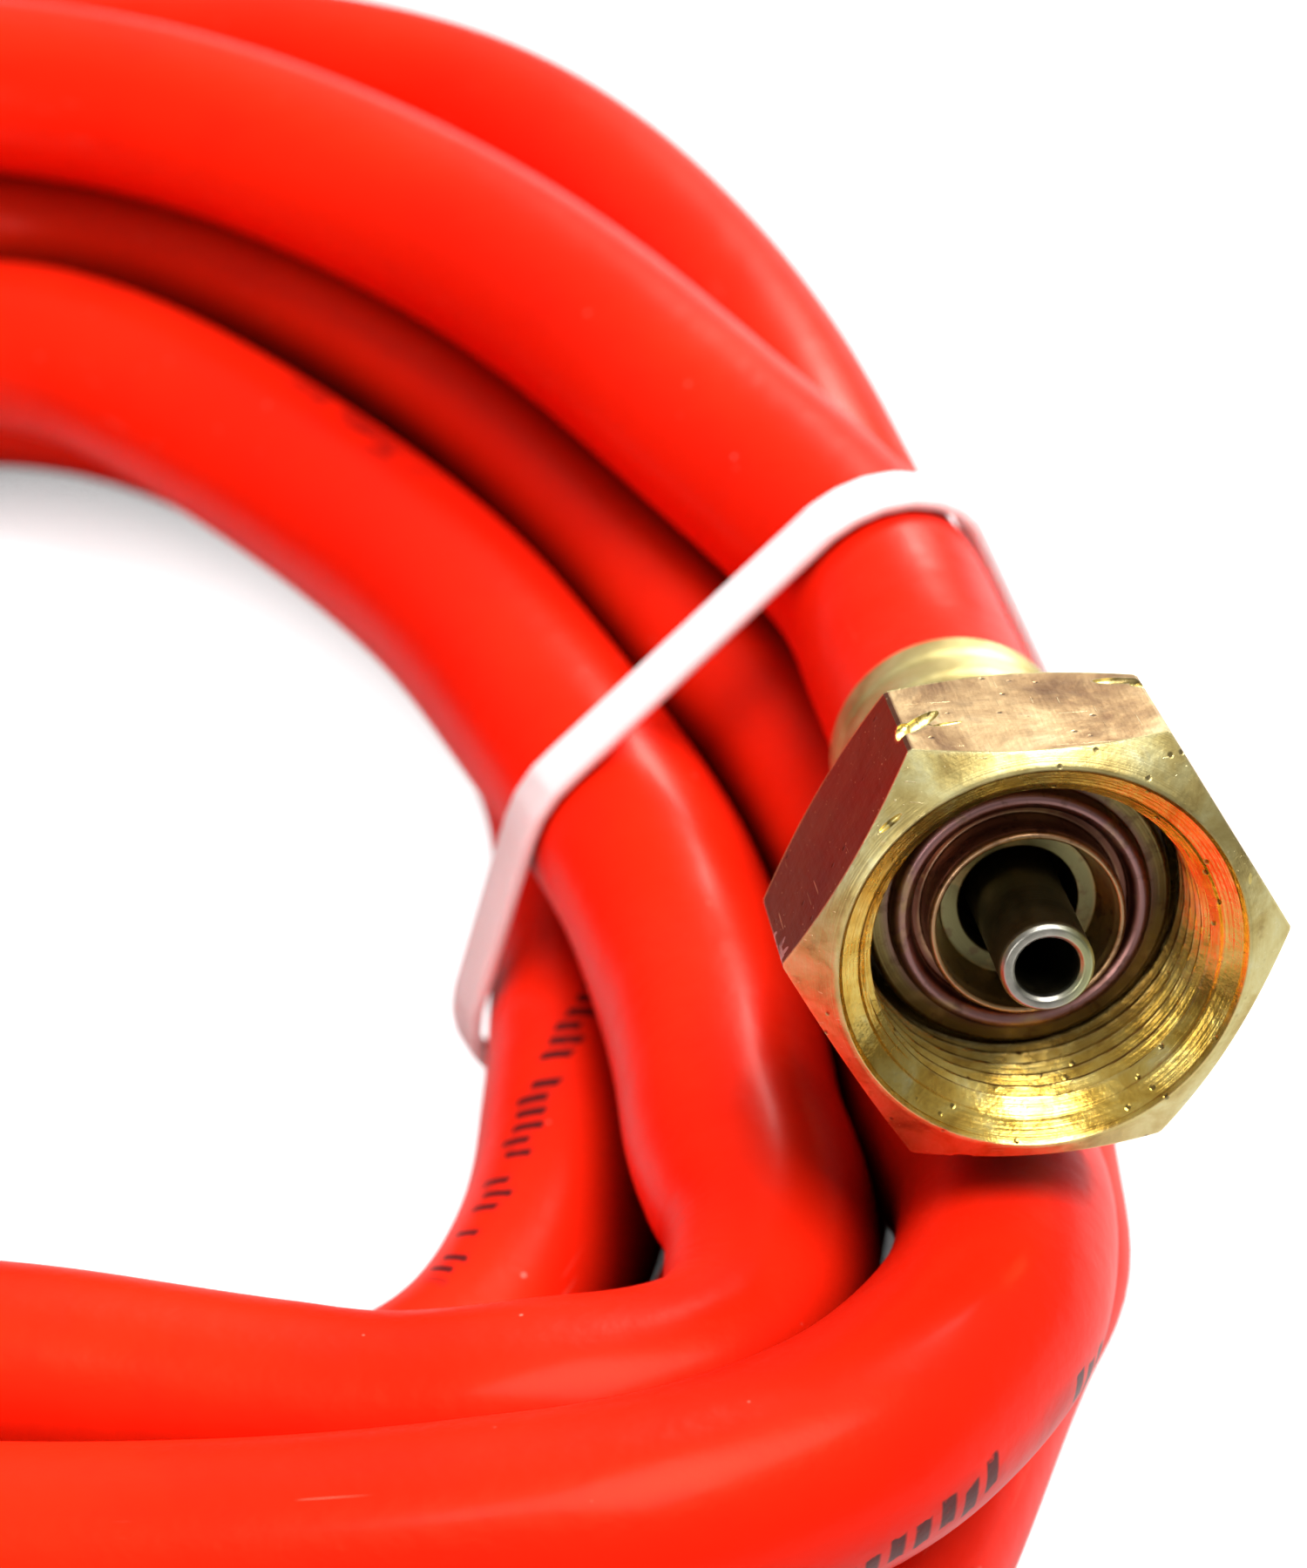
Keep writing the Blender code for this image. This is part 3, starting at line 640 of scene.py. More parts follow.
def cover_material():
    """Glossy orange-red extruded rubber with handling marks."""
    m = Mat("cover_rubber")
    obj = m.coords()
    uv = m.uv("hose")
    crease = m.attr("crease")
    ink_v = m.attr("ink_v")
    broad = m.noise(obj, scale=28.0, detail=2.0, rough=0.5)
    blotch = m.noise(obj, scale=190.0, detail=3.0)
    fine = m.noise(obj, scale=2600.0, detail=3.0, rough=0.6)
    base = m.mix(m.step(broad, lo=0.3, hi=0.7), (0.86, 0.0115, 0.0020), (0.96, 0.0185, 0.0034))
    base = m.tint(base, (0.80, 0.009, 0.003), m.step(blotch, lo=0.45, hi=0.75), amount=0.22)
    # extrusion streaks, long and very thin
    streak = m.noise(m.mapped(uv, (14.0, 1900.0, 1.0)), detail=2.0, rough=0.5)
    base = m.tint(base, (0.74, 0.010, 0.004), m.step(streak, lo=0.55, hi=0.8), amount=0.18)
    # pale specks in patches, and finer grit all over
    distance, chance = m.cells(obj, scale=270.0)
    patches = m.step(m.noise(obj, scale=60.0, detail=1.0), lo=0.52, hi=0.62)
    speck = m.step(distance, lo=0.085, hi=0.045) * ((chance[0] > 0.90) * patches)
    distance, chance = m.cells(obj, scale=900.0)
    grit = m.step(distance, lo=0.16, hi=0.07) * (chance[1] > 0.965)
    # pale scratches at two slants
    scratch = m.maximum(scuffs(m, uv, 0.5, (60.0, 2600.0, 1.0), threshold=0.735),
                        scuffs(m, uv, -0.9, (90.0, 2900.0, 1.0), threshold=0.745))
    scratch = scratch * m.step(m.noise(obj, scale=45.0, detail=1.0), lo=0.5, hi=0.64)
    # printed marks in a faint smeared halo
    ink = printed_marks(m, uv, ink_v) * m.attr("ink_on")
    halo = m.step(abs(ink_v), lo=2.6, hi=0.6) * m.attr("ink_on") * 0.22
    halo = halo * m.step(m.noise(obj, scale=260.0, detail=2.0), lo=0.42, hi=0.62)
    base = m.mix(halo, base, (0.25, 0.010, 0.008))
    base = m.tint(base, (0.020, 0.008, 0.010), ink, amount=0.93)
    # dark rubbed patches
    rub = m.attr("rub") * m.step(m.noise(obj, scale=240.0, detail=3.0, rough=0.6), lo=0.40, hi=0.60)
    base = m.tint(base, (0.075, 0.006, 0.006), rub, amount=0.8)
    base = m.tint(base, (0.90, 0.55, 0.45), speck, amount=0.8)
    base = m.tint(base, (0.9, 0.35, 0.25), grit, amount=0.35)
    base = m.tint(base, (0.95, 0.22, 0.14), scratch, amount=0.35)
    base = m.tint(base, (1.0, 0.11, 0.06), crease, amount=0.12)
    # light hardly reaches the seams between neighbouring turns
    seam = m.step(m.occlusion(distance=0.013), lo=0.0, hi=0.62) ** 1.1
    base = m.mix(seam, (0.055, 0.0004, 0.0002), base)
    # surface relief
    wrinkle = m.noise(m.mapped(uv, (1500.0, 90.0, 1.0)), detail=3.0, distort=0.6) * crease
    swell = m.noise(obj, scale=520.0, detail=2.0, rough=0.5)
    relief = m.bump(swell, strength=0.18, distance=0.0004)
    relief = m.bump(fine, strength=0.16, distance=0.00008, normal=relief)
    relief = m.bump(wrinkle, strength=0.8, distance=0.00035, normal=relief)
    relief = m.bump(speck + scratch, strength=0.35, distance=0.00010, normal=relief)
    rough = m.muladd(m.noise(obj, scale=75.0, detail=3.0, rough=0.6), times=0.22, plus=0.25)
    rough = rough + (scratch + grit) * 0.18
    rough = m.math("ADD", rough, crease * 0.12, clamp=True)
    coat_rough = m.muladd(m.noise(obj, scale=90.0, detail=2.0), times=0.18, plus=0.10)
    return m.set(color=base, rough=rough, normal=relief, coat=0.05, coat_rough=coat_rough,
                 spec=seam * 0.34, spec_tint=(1.0, 0.16, 0.06))


def liner_material():
    """Matt black rubber."""
    m = Mat("liner_rubber")
    n = m.noise(m.coords(), scale=900.0)
    return m.set(color=m.mix(n, (0.012, 0.012, 0.012), (0.045, 0.043, 0.040)),
                 rough=m.muladd(n, times=0.25, plus=0.45),
                 normal=m.bump(n, strength=0.3, distance=0.0001))


def braid_material():
    """Straw-coloured yarn woven on two slants."""
    m = Mat("braid_yarn")
    along, around, _ = m.split(m.uv("hose"))
    waves = 4200.0
    rising = m.math("SINE", (along + around) * waves)
    falling = m.math("SINE", (along - around) * waves)
    weave = m.muladd(rising * falling, times=0.5, plus=0.5)
    fuzz = m.noise(m.coords(), scale=3000.0, detail=3.0)
    color = m.mix(weave, (0.42, 0.36, 0.26), (0.80, 0.75, 0.64))
    color = m.tint(color, (0.62, 0.55, 0.42), fuzz, amount=0.4)
    return m.set(color=color, rough=0.85, sheen=0.3,
                 normal=m.bump(weave + fuzz * 0.3, strength=0.8, distance=0.0003))


def nut_material():
    """Brass-coloured nut: mottled dull flats, brighter turned faces and thread,
    rubbed edges."""
    m = Mat("nut_brass")
    obj = m.coords()
    x, y, z = m.split(obj)
    r = m.radius(x, y)
    face_radius = NUT_FACE * MM
    # masks of the bore and of both end faces with their chamfers
    inside = m.step(r, lo=face_radius, hi=0.01235)
    front = m.step(z + (r - face_radius) * CHAMFER_SLOPE, lo=-0.00022, hi=-0.00006)
    rear = m.step(z + NUT_LEN * MM + (face_radius - r) * CHAMFER_SLOPE, lo=0.00022, hi=0.00006)
    ends = m.maximum(front, rear)
    mottle = m.noise(obj, scale=150.0, detail=6.0, rough=0.66, distort=0.5)
    grain = m.noise(obj, scale=620.0, rough=0.6)
    stain = m.noise(obj, scale=95.0, rough=0.6, distort=0.8)
    flat = m.ramp(mottle, (0.30, (0.34, 0.17, 0.080)), (0.44, (0.58, 0.36, 0.17)),
                  (0.56, (0.76, 0.53, 0.27)), (0.72, (0.86, 0.67, 0.41)))
    flat = m.tint(flat, (0.21, 0.10, 0.065), m.step(stain, lo=0.50, hi=0.68), amount=0.35)
    flat = m.tint(flat, (0.14, 0.075, 0.05), m.step(grain, lo=0.50, hi=0.80), amount=0.35)
    # painted shade and painted reflection of the red hose: the two flats on the -X side are painted
    # darker and redder
    side = x * -0.866 + abs(y) * 0.5
    flat = m.tint(flat, (0.15, 0.036, 0.013), m.step(side, lo=0.01318, hi=0.01338), amount=0.88)
    face = m.ramp(m.noise(obj, scale=240.0, detail=5.0, rough=0.62, distort=0.4),
                  (0.30, (0.36, 0.24, 0.07)), (0.47, (0.62, 0.49, 0.18)),
                  (0.60, (0.74, 0.65, 0.30)), (0.74, (0.80, 0.77, 0.48)))
    face = m.tint(face, (0.30, 0.19, 0.07), m.step(grain, lo=0.60, hi=0.76), amount=0.5)
    bore = m.ramp(m.noise(obj, scale=320.0, detail=5.0, rough=0.62, distort=0.4),
                  (0.28, (0.42, 0.22, 0.03)), (0.48, (0.74, 0.48, 0.09)),
                  (0.62, (0.88, 0.66, 0.18)), (0.78, (0.95, 0.84, 0.42)))
    # painted shade: the bore is painted darker from 2.2 mm to 10 mm behind the mouth
    bore = m.tint(bore, (0.16, 0.085, 0.018), m.step(z, lo=-0.0022, hi=-0.0100), amount=0.85)
    color = m.mix(ends, flat, face)
    color = m.mix(inside, color, bore)
    # turning rings on the ends and in the bore, drawing lines along the flats
    rings = m.noise(m.join(r * 9000.0, z * 2500.0, 0.0), detail=2.0, rough=0.5)
    drawn = m.noise(m.mapped(obj, (2600.0, 2600.0, 260.0)), detail=2.0, rough=0.5)
    lines = m.mix(m.maximum(ends, inside), drawn, rings)
    level = m.noise(m.mapped(obj, (190.0, 5200.0, 2600.0)), detail=1.0, rough=0.5)
    upright = m.noise(m.mapped(obj, (4600.0, 4200.0, 230.0)), detail=1.0, rough=0.5)
    scratch = m.maximum(m.step(level, lo=0.745, hi=0.77), m.step(upright, lo=0.755, hi=0.78))
    scratch = scratch * (1.0 - inside)
    worn = m.step((grain - 0.5) * 0.12 + m.edge(radius=0.00042), lo=0.045, hi=0.13)
    worn = worn * (1.0 - inside * 0.7)
    color = m.tint(color, (0.96, 0.86, 0.46), worn, amount=0.85)
    # fresh metal in the dents, greyer at the -X corner, with dirt in it
    gash = m.attr("gash")
    fresh = m.mix(m.step(x, lo=-0.012, hi=-0.010), (0.70, 0.68, 0.62), (0.99, 0.80, 0.26))
    color = m.tint(color, fresh, gash, amount=0.9)
    color = m.tint(color, (0.10, 0.06, 0.03), gash * m.step(grain, lo=0.5, hi=0.6), amount=0.8)
    color = m.tint(color, (0.88, 0.78, 0.45), scratch, amount=0.55)
    distance, chance = m.cells(obj, scale=1300.0)
    pits = m.step(distance, lo=0.30, hi=0.12) * (chance[0] > 0.90)
    color = m.tint(color, (0.06, 0.035, 0.02), pits, amount=0.7)
    rough = m.muladd(mottle, times=0.32, plus=0.26) - inside * 0.16
    rough = m.math("SUBTRACT", rough, worn * 0.10, clamp=True)
    relief = m.bump(lines, strength=0.30, distance=0.00007)
    relief = m.bump(grain + mottle, strength=0.35, distance=0.00018, normal=relief)
    relief = m.bump(scratch - pits, strength=0.5, distance=0.00008, normal=relief)
    return m.set(color=color, metal=1.0, rough=rough, normal=relief)


def nipple_material():
    """Yellow plating with purple tints on the ridges."""
    m = Mat("nipple_plated")
    obj = m.coords()
    x, y, z = m.split(obj)
    r = m.radius(x, y) * 1000.0
    n = m.noise(obj, scale=260.0, rough=0.6, distort=0.4)
    uneven = r + (n - 0.5) * 0.7
    # bands by radius, in centimetres; the dark band at 6.4 to 6.9 mm, on the groove floor, is
    # painted shade
    color = m.ramp(uneven / 10.0,
                   (0.30, (0.20, 0.17, 0.07)), (0.46, (0.27, 0.24, 0.11)),
                   (0.54, (0.50, 0.34, 0.13)), (0.60, (0.60, 0.36, 0.20)),
                   (0.64, (0.26, 0.11, 0.07)), (0.69, (0.27, 0.13, 0.10)),
                   (0.74, (0.46, 0.24, 0.22)), (0.80, (0.40, 0.21, 0.21)),
                   (0.88, (0.40, 0.30, 0.11)))
    spots = m.step(m.noise(obj, scale=900.0, rough=0.65), lo=0.52, hi=0.66)
    color = m.tint(color, (0.16, 0.08, 0.05), spots, amount=0.55)
    color = m.tint(color, (0.66, 0.46, 0.20), m.step(n, lo=0.54, hi=0.70), amount=0.6)
    rings = m.noise(m.join(r * 9.0, z * 3000.0, 0.0), detail=2.0, rough=0.5)
    rubbed = m.step(m.edge(radius=0.0002), lo=0.06, hi=0.3)
    color = m.tint(color, (0.74, 0.52, 0.36), rubbed, amount=0.6)
    relief = m.bump(rings, strength=0.25, distance=0.00006)
    return m.set(color=color, metal=1.0, rough=m.muladd(n, times=0.25, plus=0.22),
                 normal=m.bump(n, strength=0.12, distance=0.00008, normal=relief))


def stem_material():
    """Dark steel tube with a paler tip, and a bore painted nearly black as painted shade."""
    m = Mat("stem_steel")
    obj = m.coords()
    x, y, z = m.split(obj)
    r = m.radius(x, y)
    n = m.noise(obj, scale=700.0, rough=0.6)
    tip = m.step(z, lo=0.0002, hi=0.0008)
    tip_color = m.mix(m.noise(obj, scale=700.0, rough=0.65), (0.20, 0.18, 0.14), (0.62, 0.60, 0.52))
    color = m.mix(tip, m.mix(n, (0.09, 0.07, 0.03), (0.22, 0.18, 0.09)), tip_color)
    # greenish +X side of the tip
    color = m.tint(color, (0.50, 0.53, 0.16), tip * m.step(x, lo=0.0002, hi=0.0024), amount=0.55)
    rings = m.noise(m.join(r * 14000.0, z * 5000.0, 0.0), detail=2.0)
    # painted shade: inside the bore, within 1.95 mm, the colour is nearly black
    color = m.mix(m.step(r, lo=0.00200, hi=0.00185), color, (0.03, 0.03, 0.028))
    return m.set(color=color, metal=1.0, rough=m.muladd(n, times=0.25, plus=0.22),
                 normal=m.bump(rings, strength=0.35, distance=0.00005))


def steel_material():
    """Plain grey steel."""
    m = Mat("slip_ring_steel")
    n = m.noise(m.coords(), scale=600.0)
    return m.set(color=m.mix(n, (0.30, 0.29, 0.26), (0.60, 0.59, 0.55)), metal=1.0,
                 rough=m.muladd(n, times=0.3, plus=0.25),
                 normal=m.bump(n, strength=0.2, distance=0.0001))


def ferrule_material():
    """Yellow-plated sleeve, paler on its edges."""
    m = Mat("ferrule_plated")
    obj = m.coords()
    n = m.noise(obj, scale=230.0, rough=0.6, distort=0.3)
    grain = m.noise(obj, scale=1100.0, detail=3.0)
    color = m.ramp(n, (0.3, (0.38, 0.28, 0.09)), (0.5, (0.53, 0.44, 0.18)),
                   (0.72, (0.64, 0.57, 0.30)))
    rubbed = m.step(m.edge(radius=0.00025), lo=0.06, hi=0.3)
    color = m.tint(color, (0.95, 0.92, 0.76), rubbed, amount=0.5)
    rings = m.noise(m.mapped(obj, (300.0, 300.0, 3500.0)), detail=2.0)
    relief = m.bump(rings, strength=0.2, distance=0.00005)
    return m.set(color=color, metal=0.85, rough=m.muladd(n, times=0.25, plus=0.42),
                 normal=m.bump(grain, strength=0.15, distance=0.00008, normal=relief))


def nylon_material():
    """Milky nylon with flow lines along the strap."""
    m = Mat("tie_nylon")
    n = m.noise(m.coords(), scale=320.0, detail=3.0)
    along, across, _ = m.split(m.uv("strap"))
    flow = m.noise(m.join(along * 90.0, across * 2600.0, 0.0), detail=2.0)
    color = m.mix(n, (0.93, 0.88, 0.87), (0.99, 0.97, 0.96))
    color = m.tint(color, (0.78, 0.73, 0.70), m.step(flow, lo=0.55, hi=0.8), amount=0.25)
    relief = m.bump(n, strength=0.15, distance=0.0001)
    return m.set(color=color, rough=m.muladd(n, times=0.2, plus=0.34), sss=0.45,
                 sss_radius=(1.0, 0.85, 0.8), sss_scale=0.0012, trans=0.12, ior=1.53,
                 normal=m.bump(flow, strength=0.2, distance=0.00006, normal=relief))


def floor_material():
    """Glows for the camera but bounces only a moderate light; close under the
    hose the glow is cut, a painted shadow."""
    m = Mat("floor_pale")
    tone = m.mix(m.noise(m.coords(), scale=3.0, detail=2.0), FLOOR_TONE,
                 tuple(min(1.0, c * 1.03) for c in FLOOR_TONE))
    m.set(color=tone, rough=0.8, spec=0.1)
    surface = m.principled.outputs[0]
    path = m.node("ShaderNodeLightPath")
    glow = m.node("ShaderNodeEmission")
    glow.inputs["Color"].default_value = (1.0, 1.0, 1.0, 1.0)
    # painted shadow: the glow fades where occlusion is high, close under the hose
    open_air = m.step(m.occlusion(distance=0.028), lo=0.05, hi=0.30)
    m.put(glow.inputs["Strength"], open_air * FLOOR_GLOW)
    both = m.node("ShaderNodeAddShader")
    m.put(both.inputs[0], surface)
    m.put(both.inputs[1], glow.outputs[0])
    pick = m.node("ShaderNodeMixShader")
    m.put(pick.inputs[0], path.outputs["Is Camera Ray"])
    m.put(pick.inputs[1], surface)
    m.put(pick.inputs[2], both.outputs[0])
    m.put(m.output.inputs["Surface"], pick.outputs[0])
    return m.material


COVER, LINER, BRAID = cover_material(), liner_material(), braid_material()
NUT, NIPPLE, STEM = nut_material(), nipple_material(), stem_material()
STEEL, FERRULE, NYLON = steel_material(), ferrule_material(), nylon_material()

HOSE = build_centreline()


# ------------------------------------------------------------------------ hose
def print_line():
    """Angle of the printed line round the hose at every ring; it wanders as the
    hose twists between the given facings."""
    wanted = []
    for degrees, facing in PRINT_FACING:
        i = int(np.argmin(np.abs(HOSE.angle - degrees)))
        d = unit(facing)
        wanted.append((HOSE.run[i], math.atan2(d @ HOSE.binormal[i], d @ HOSE.normal[i])))
    wanted.sort()
    runs = [w[0] for w in wanted]
    return np.interp(HOSE.run, runs, np.unwrap([w[1] for w in wanted]))


def ring_noise(n, seed, smooth):
    """Random value per ring, smoothed over the given number of rings each way."""
    rng = np.random.RandomState(seed)
    v = rng.rand(n + 4 * smooth) - 0.5
    k = np.hanning(2 * smooth + 1)
    return np.convolve(v, k / np.sqrt((k ** 2).sum()), mode="same")[2 * smooth:2 * smooth + n]


def wrapped(angle):
    return (angle + math.pi) % (2 * math.pi) - math.pi


def tube_faces(rings, sides):
    """Quads of the outer wall, the inner wall and both end rims."""
    i = np.arange(rings - 1)[:, None] * sides
    j = np.arange(sides)[None]
    k = (j + 1) % sides
    inner = rings * sides
    wall = np.stack([i + j, i + k, i + sides + k, i + sides + j], -1).reshape(-1, 4)
    bore = inner + np.stack([i + j, i + sides + j, i + sides + k, i + k], -1).reshape(-1, 4)
    j, k = j[0], k[0]
    last = (rings - 1) * sides
    rim_a = np.stack([j, inner + j, inner + k, k], -1)
    rim_b = np.stack([last + j, last + k, inner + last + k, inner + last + j], -1)
    return np.concatenate([wall, bore, rim_a, rim_b])


def quad_mesh(name, verts, faces):
    mesh = bpy.data.meshes.new(name)
    mesh.vertices.add(len(verts))
    mesh.vertices.foreach_set("co", (verts * MM).astype(np.float32).ravel())
    mesh.loops.add(faces.size)
    mesh.loops.foreach_set("vertex_index", faces.astype(np.int32).ravel())
    mesh.polygons.add(len(faces))
    mesh.polygons.foreach_set("loop_start", (np.arange(len(faces)) * 4).astype(np.int32))
    mesh.polygons.foreach_set("use_smooth", np.ones(len(faces), bool))
    mesh.update(calc_edges=True)
    return mesh


def add_hose_uv(mesh, faces, run, sides, r_out):
    """Metres along and round the hose, per corner so the seam is clean."""
    rings = len(run)
    run_of_vertex = np.tile(np.repeat(run, sides), 2)
    column = np.tile(np.arange(sides), 2 * rings)
    corners = faces.ravel()
    around = column[corners].reshape(-1, 4).astype(float)
    seam = (around.max(1) - around.min(1)) > sides / 2
    around[seam] = np.where(around[seam] < sides / 2, around[seam] + sides, around[seam])
    v = around.ravel() / sides * 2 * math.pi * r_out * MM
    uv = mesh.uv_layers.new(name="hose")
    uv.data.foreach_set("uv", np.stack([run_of_vertex[corners] * MM, v], 1)
                        .astype(np.float32).ravel())


def mark_cover(mesh, pick, theta, r_out, crease):
    """Attributes that drive the print, the rubbed patches and the creases."""
    normal, binormal, run = HOSE.normal[pick], HOSE.binormal[pick], HOSE.run[pick]
    line, angle = print_line()[pick], HOSE.angle[pick]
    rings, sides = crease.shape
    ink_v = wrapped(theta[None] - line[:, None]) * r_out
    ink_on = np.zeros(rings)
    for lo, hi in PRINT_SPANS:
        ink_on = np.maximum(ink_on, np.clip(np.minimum(angle - lo, hi - angle) / 1.5, 0, 1))
    rub = np.zeros((rings, sides))
    for degrees, facing, half_len, half_width in RUBBED:
        i = int(np.argmin(np.abs(angle - degrees)))
        d = unit(facing)
        off = wrapped(theta - math.atan2(d @ binormal[i], d @ normal[i]))
        rub = np.maximum(rub, np.exp(-((run - run[i])[:, None] / half_len) ** 2)
                         * np.exp(-(off[None] * r_out / half_width) ** 2))
    # the last column is the value given to the inner wall
    for name, outer, inner in (("ink_v", ink_v, 99.0),
                               ("ink_on", np.repeat(ink_on[:, None], sides, 1), 0.0),
                               ("crease", crease, 0.0), ("rub", rub, 0.0)):
        values = np.concatenate([outer.ravel(), np.full(rings * sides, inner)])
        attribute = mesh.attributes.new(name, "FLOAT", "POINT")
        attribute.data.foreach_set("value", values.astype(np.float32))


def hose_tube(name, r_out, r_in, sides, rings, material, detail=False):
    """Tube swept along the centreline; detail adds bend marks and attributes."""
    pick = np.linspace(0, HOSE_RINGS - 1, rings).round().astype(int)
    points, bend, run = HOSE.points[pick], HOSE.bend[pick], HOSE.run[pick]
    theta = np.arange(sides) * 2 * math.pi / sides
    spokes = (np.cos(theta)[None, :, None] * HOSE.normal[pick][:, None]
              + np.sin(theta)[None, :, None] * HOSE.binormal[pick][:, None])
    radius = np.full((rings, sides), r_out)
    if detail:
        inward = (spokes * bend[:, None]).sum(2)          # 1/mm, + inside the bend
        ends = np.clip(np.minimum(run, run[-1] - run) / 20.0, 0, 1)[:, None]
        crease = np.clip((inward - 0.020) / 0.045, 0, 1) * ends
        tightness = np.linalg.norm(bend, axis=1)[:, None]
        side = inward / np.maximum(tightness, 1e-6)
        # the inside of tight bends is flattened and rippled
        squeeze = np.clip((tightness - 0.012) / 0.030, 0, 1) * ends
        radius = radius - squeeze * np.where(side > 0, 0.95, 0.0) * side ** 2
        radius = radius - 0.045 * crease * ring_noise(rings, 7, 3)[:, None]
        radius = radius - 0.03 * (0.5 + 0.5 * ring_noise(rings, 21, 24)[:, None]) * ends
    outer = points[:, None] + spokes * radius[:, :, None]
    inner = points[:, None] + spokes * r_in
    verts = np.concatenate([outer.reshape(-1, 3), inner.reshape(-1, 3)]) - ORIGIN
    faces = tube_faces(rings, sides)
    mesh = quad_mesh(name, verts, faces)
    add_hose_uv(mesh, faces, run, sides, r_out)
    if detail:
        mark_cover(mesh, pick, theta, r_out, crease)
    ob = new_object(name, mesh, material)
    mesh.set_sharp_from_angle(angle=math.radians(60))
    return ob


def build_hose():
    cover = hose_tube("hose_cover_skin", HOSE_OD / 2, COVER_IN / 2, sides=56,
                      rings=HOSE_RINGS, material=COVER, detail=True)
    dress(cover, "hose", "hose_cover")
    braid = hose_tube("hose_braid_sleeve", BRAID_OUT / 2, BRAID_IN / 2, sides=32,
                      rings=INNER_RINGS, material=BRAID)
    dress(braid, "hose", "hose_braid")
    liner = hose_tube("hose_liner_tube", LINER_OUT / 2, LINER_IN / 2, sides=32,
                      rings=INNER_RINGS, material=LINER)
    dress(liner, "hose", "hose_liner")


# ------------------------------------------------------------------ union nuts
def worn_dents():
    """Dents of nut A, seen into the mouth with +Y up: ellipsoids as
    (centre, long direction, facing, radii along, across and into the facing)."""
    def corner(degrees):
        a = math.radians(degrees)
        return NUT_CORNER * math.cos(a), NUT_CORNER * math.sin(a)

    (lx, ly), (rx, ry) = corner(120), corner(60)
    down = (-0.5, -math.sin(math.radians(60)))            # along the upper left flat
    up, right, out = (0, 1, 0), (1, 0, 0), (0, 0, 1)
    dents = [
        # crescent on the top left corner
        ((lx + 1.3, ly + 0.05, -6.1), (2.4, 0.0, -2.9), up, (2.1, 0.55, 0.52)),
        ((lx + 0.1, ly - 0.10, -5.2), (0.6, 0.0, -1.0), up, (1.0, 0.60, 0.50)),
        ((lx + 1.2 * down[0], ly + 1.2 * down[1], -6.2), (2.5 * down[0], 2.5 * down[1], -2.7),
         (-math.cos(math.radians(30)), 0.5, 0), (1.9, 0.45, 0.42)),
        ((lx + 2.9, ly + 0.05, -5.6), (1.0, 0.0, -0.2), up, (1.0, 0.20, 0.24)),
        # top right corner: two notches towards the rear, one near the front
        ((rx - 1.2, ry + 0.12, -10.4), (1, 0.1, 0.15), up, (1.7, 0.5, 0.5)),
        ((rx + 0.1, ry + 0.05, -9.6), (1, 0.2, 0.2), up, (0.9, 0.45, 0.5)),
        ((rx + 0.3, ry - 0.5, -2.3), (0.6, 1, 0.4), right, (0.8, 0.3, 0.4)),
    ]
    # battered left corner: (angle, z, radius along, radius across)
    left = ((180.5, -2.2, 1.2, 0.42), (183.5, -3.1, 1.3, 0.40), (178.5, -4.2, 1.2, 0.36),
            (185.0, -5.0, 1.4, 0.40), (182.0, -6.2, 1.0, 0.34), (187.5, -3.9, 1.1, 0.34),
            (177.0, -2.9, 0.9, 0.30), (184.0, -7.4, 0.8, 0.30))
    for k, (degrees, z, along, across) in enumerate(left):
        a = math.radians(degrees)
        r = NUT_CORNER - 0.02
        dents.append(((r * math.cos(a), r * math.sin(a), z), (0.15, 1.0, -0.25 + 0.12 * k),
                      (math.cos(a), math.sin(a), 0), (along, across, 0.46)))
    # small nicks round the front
    dents += [
        ((-4.6, -13.4, -1.6), (1, 0, 0.2), (0, -1, 0), (1.2, 0.5, 0.3)),
        ((9.0, 9.2, -0.15), (1, -0.6, 0.0), out, (0.9, 0.25, 0.22)),
        ((14.4, 1.0, -2.0), (0.0, 1.0, 0.3), right, (0.9, 0.3, 0.35)),
        ((12.6, 4.6, -0.35), (0.3, 1.0, 0.0), out, (0.7, 0.2, 0.2)),
        ((-9.2, 9.6, -0.5), (1.0, 0.8, 0.0), out, (0.9, 0.2, 0.2)),
    ]
    return [(centre, dent_axes(along, facing), radii) for centre, along, facing, radii in dents]


def dent_axes(along, facing):
    """Three unit vectors: along, across, and facing made square to along."""
    d = Vector(along).normalized()
    u = Vector(facing)
    u = (u - u.dot(d) * d).normalized()
    return d, d.cross(u), u


def ellipsoid(centre, axes, radii):
    """Cutter for one dent."""
    bm = bmesh.new()
    bmesh.ops.create_icosphere(bm, subdivisions=3, radius=1.0)
    turn = Matrix(axes).transposed()
    for v in bm.verts:
        w = Vector((v.co.x * radii[0], v.co.y * radii[1], v.co.z * radii[2]))
        v.co = (turn @ w + Vector(centre)) * MM
    bmesh.ops.recalc_face_normals(bm, faces=bm.faces[:])
    return new_object("dent", mesh_from_bmesh("dent", bm))


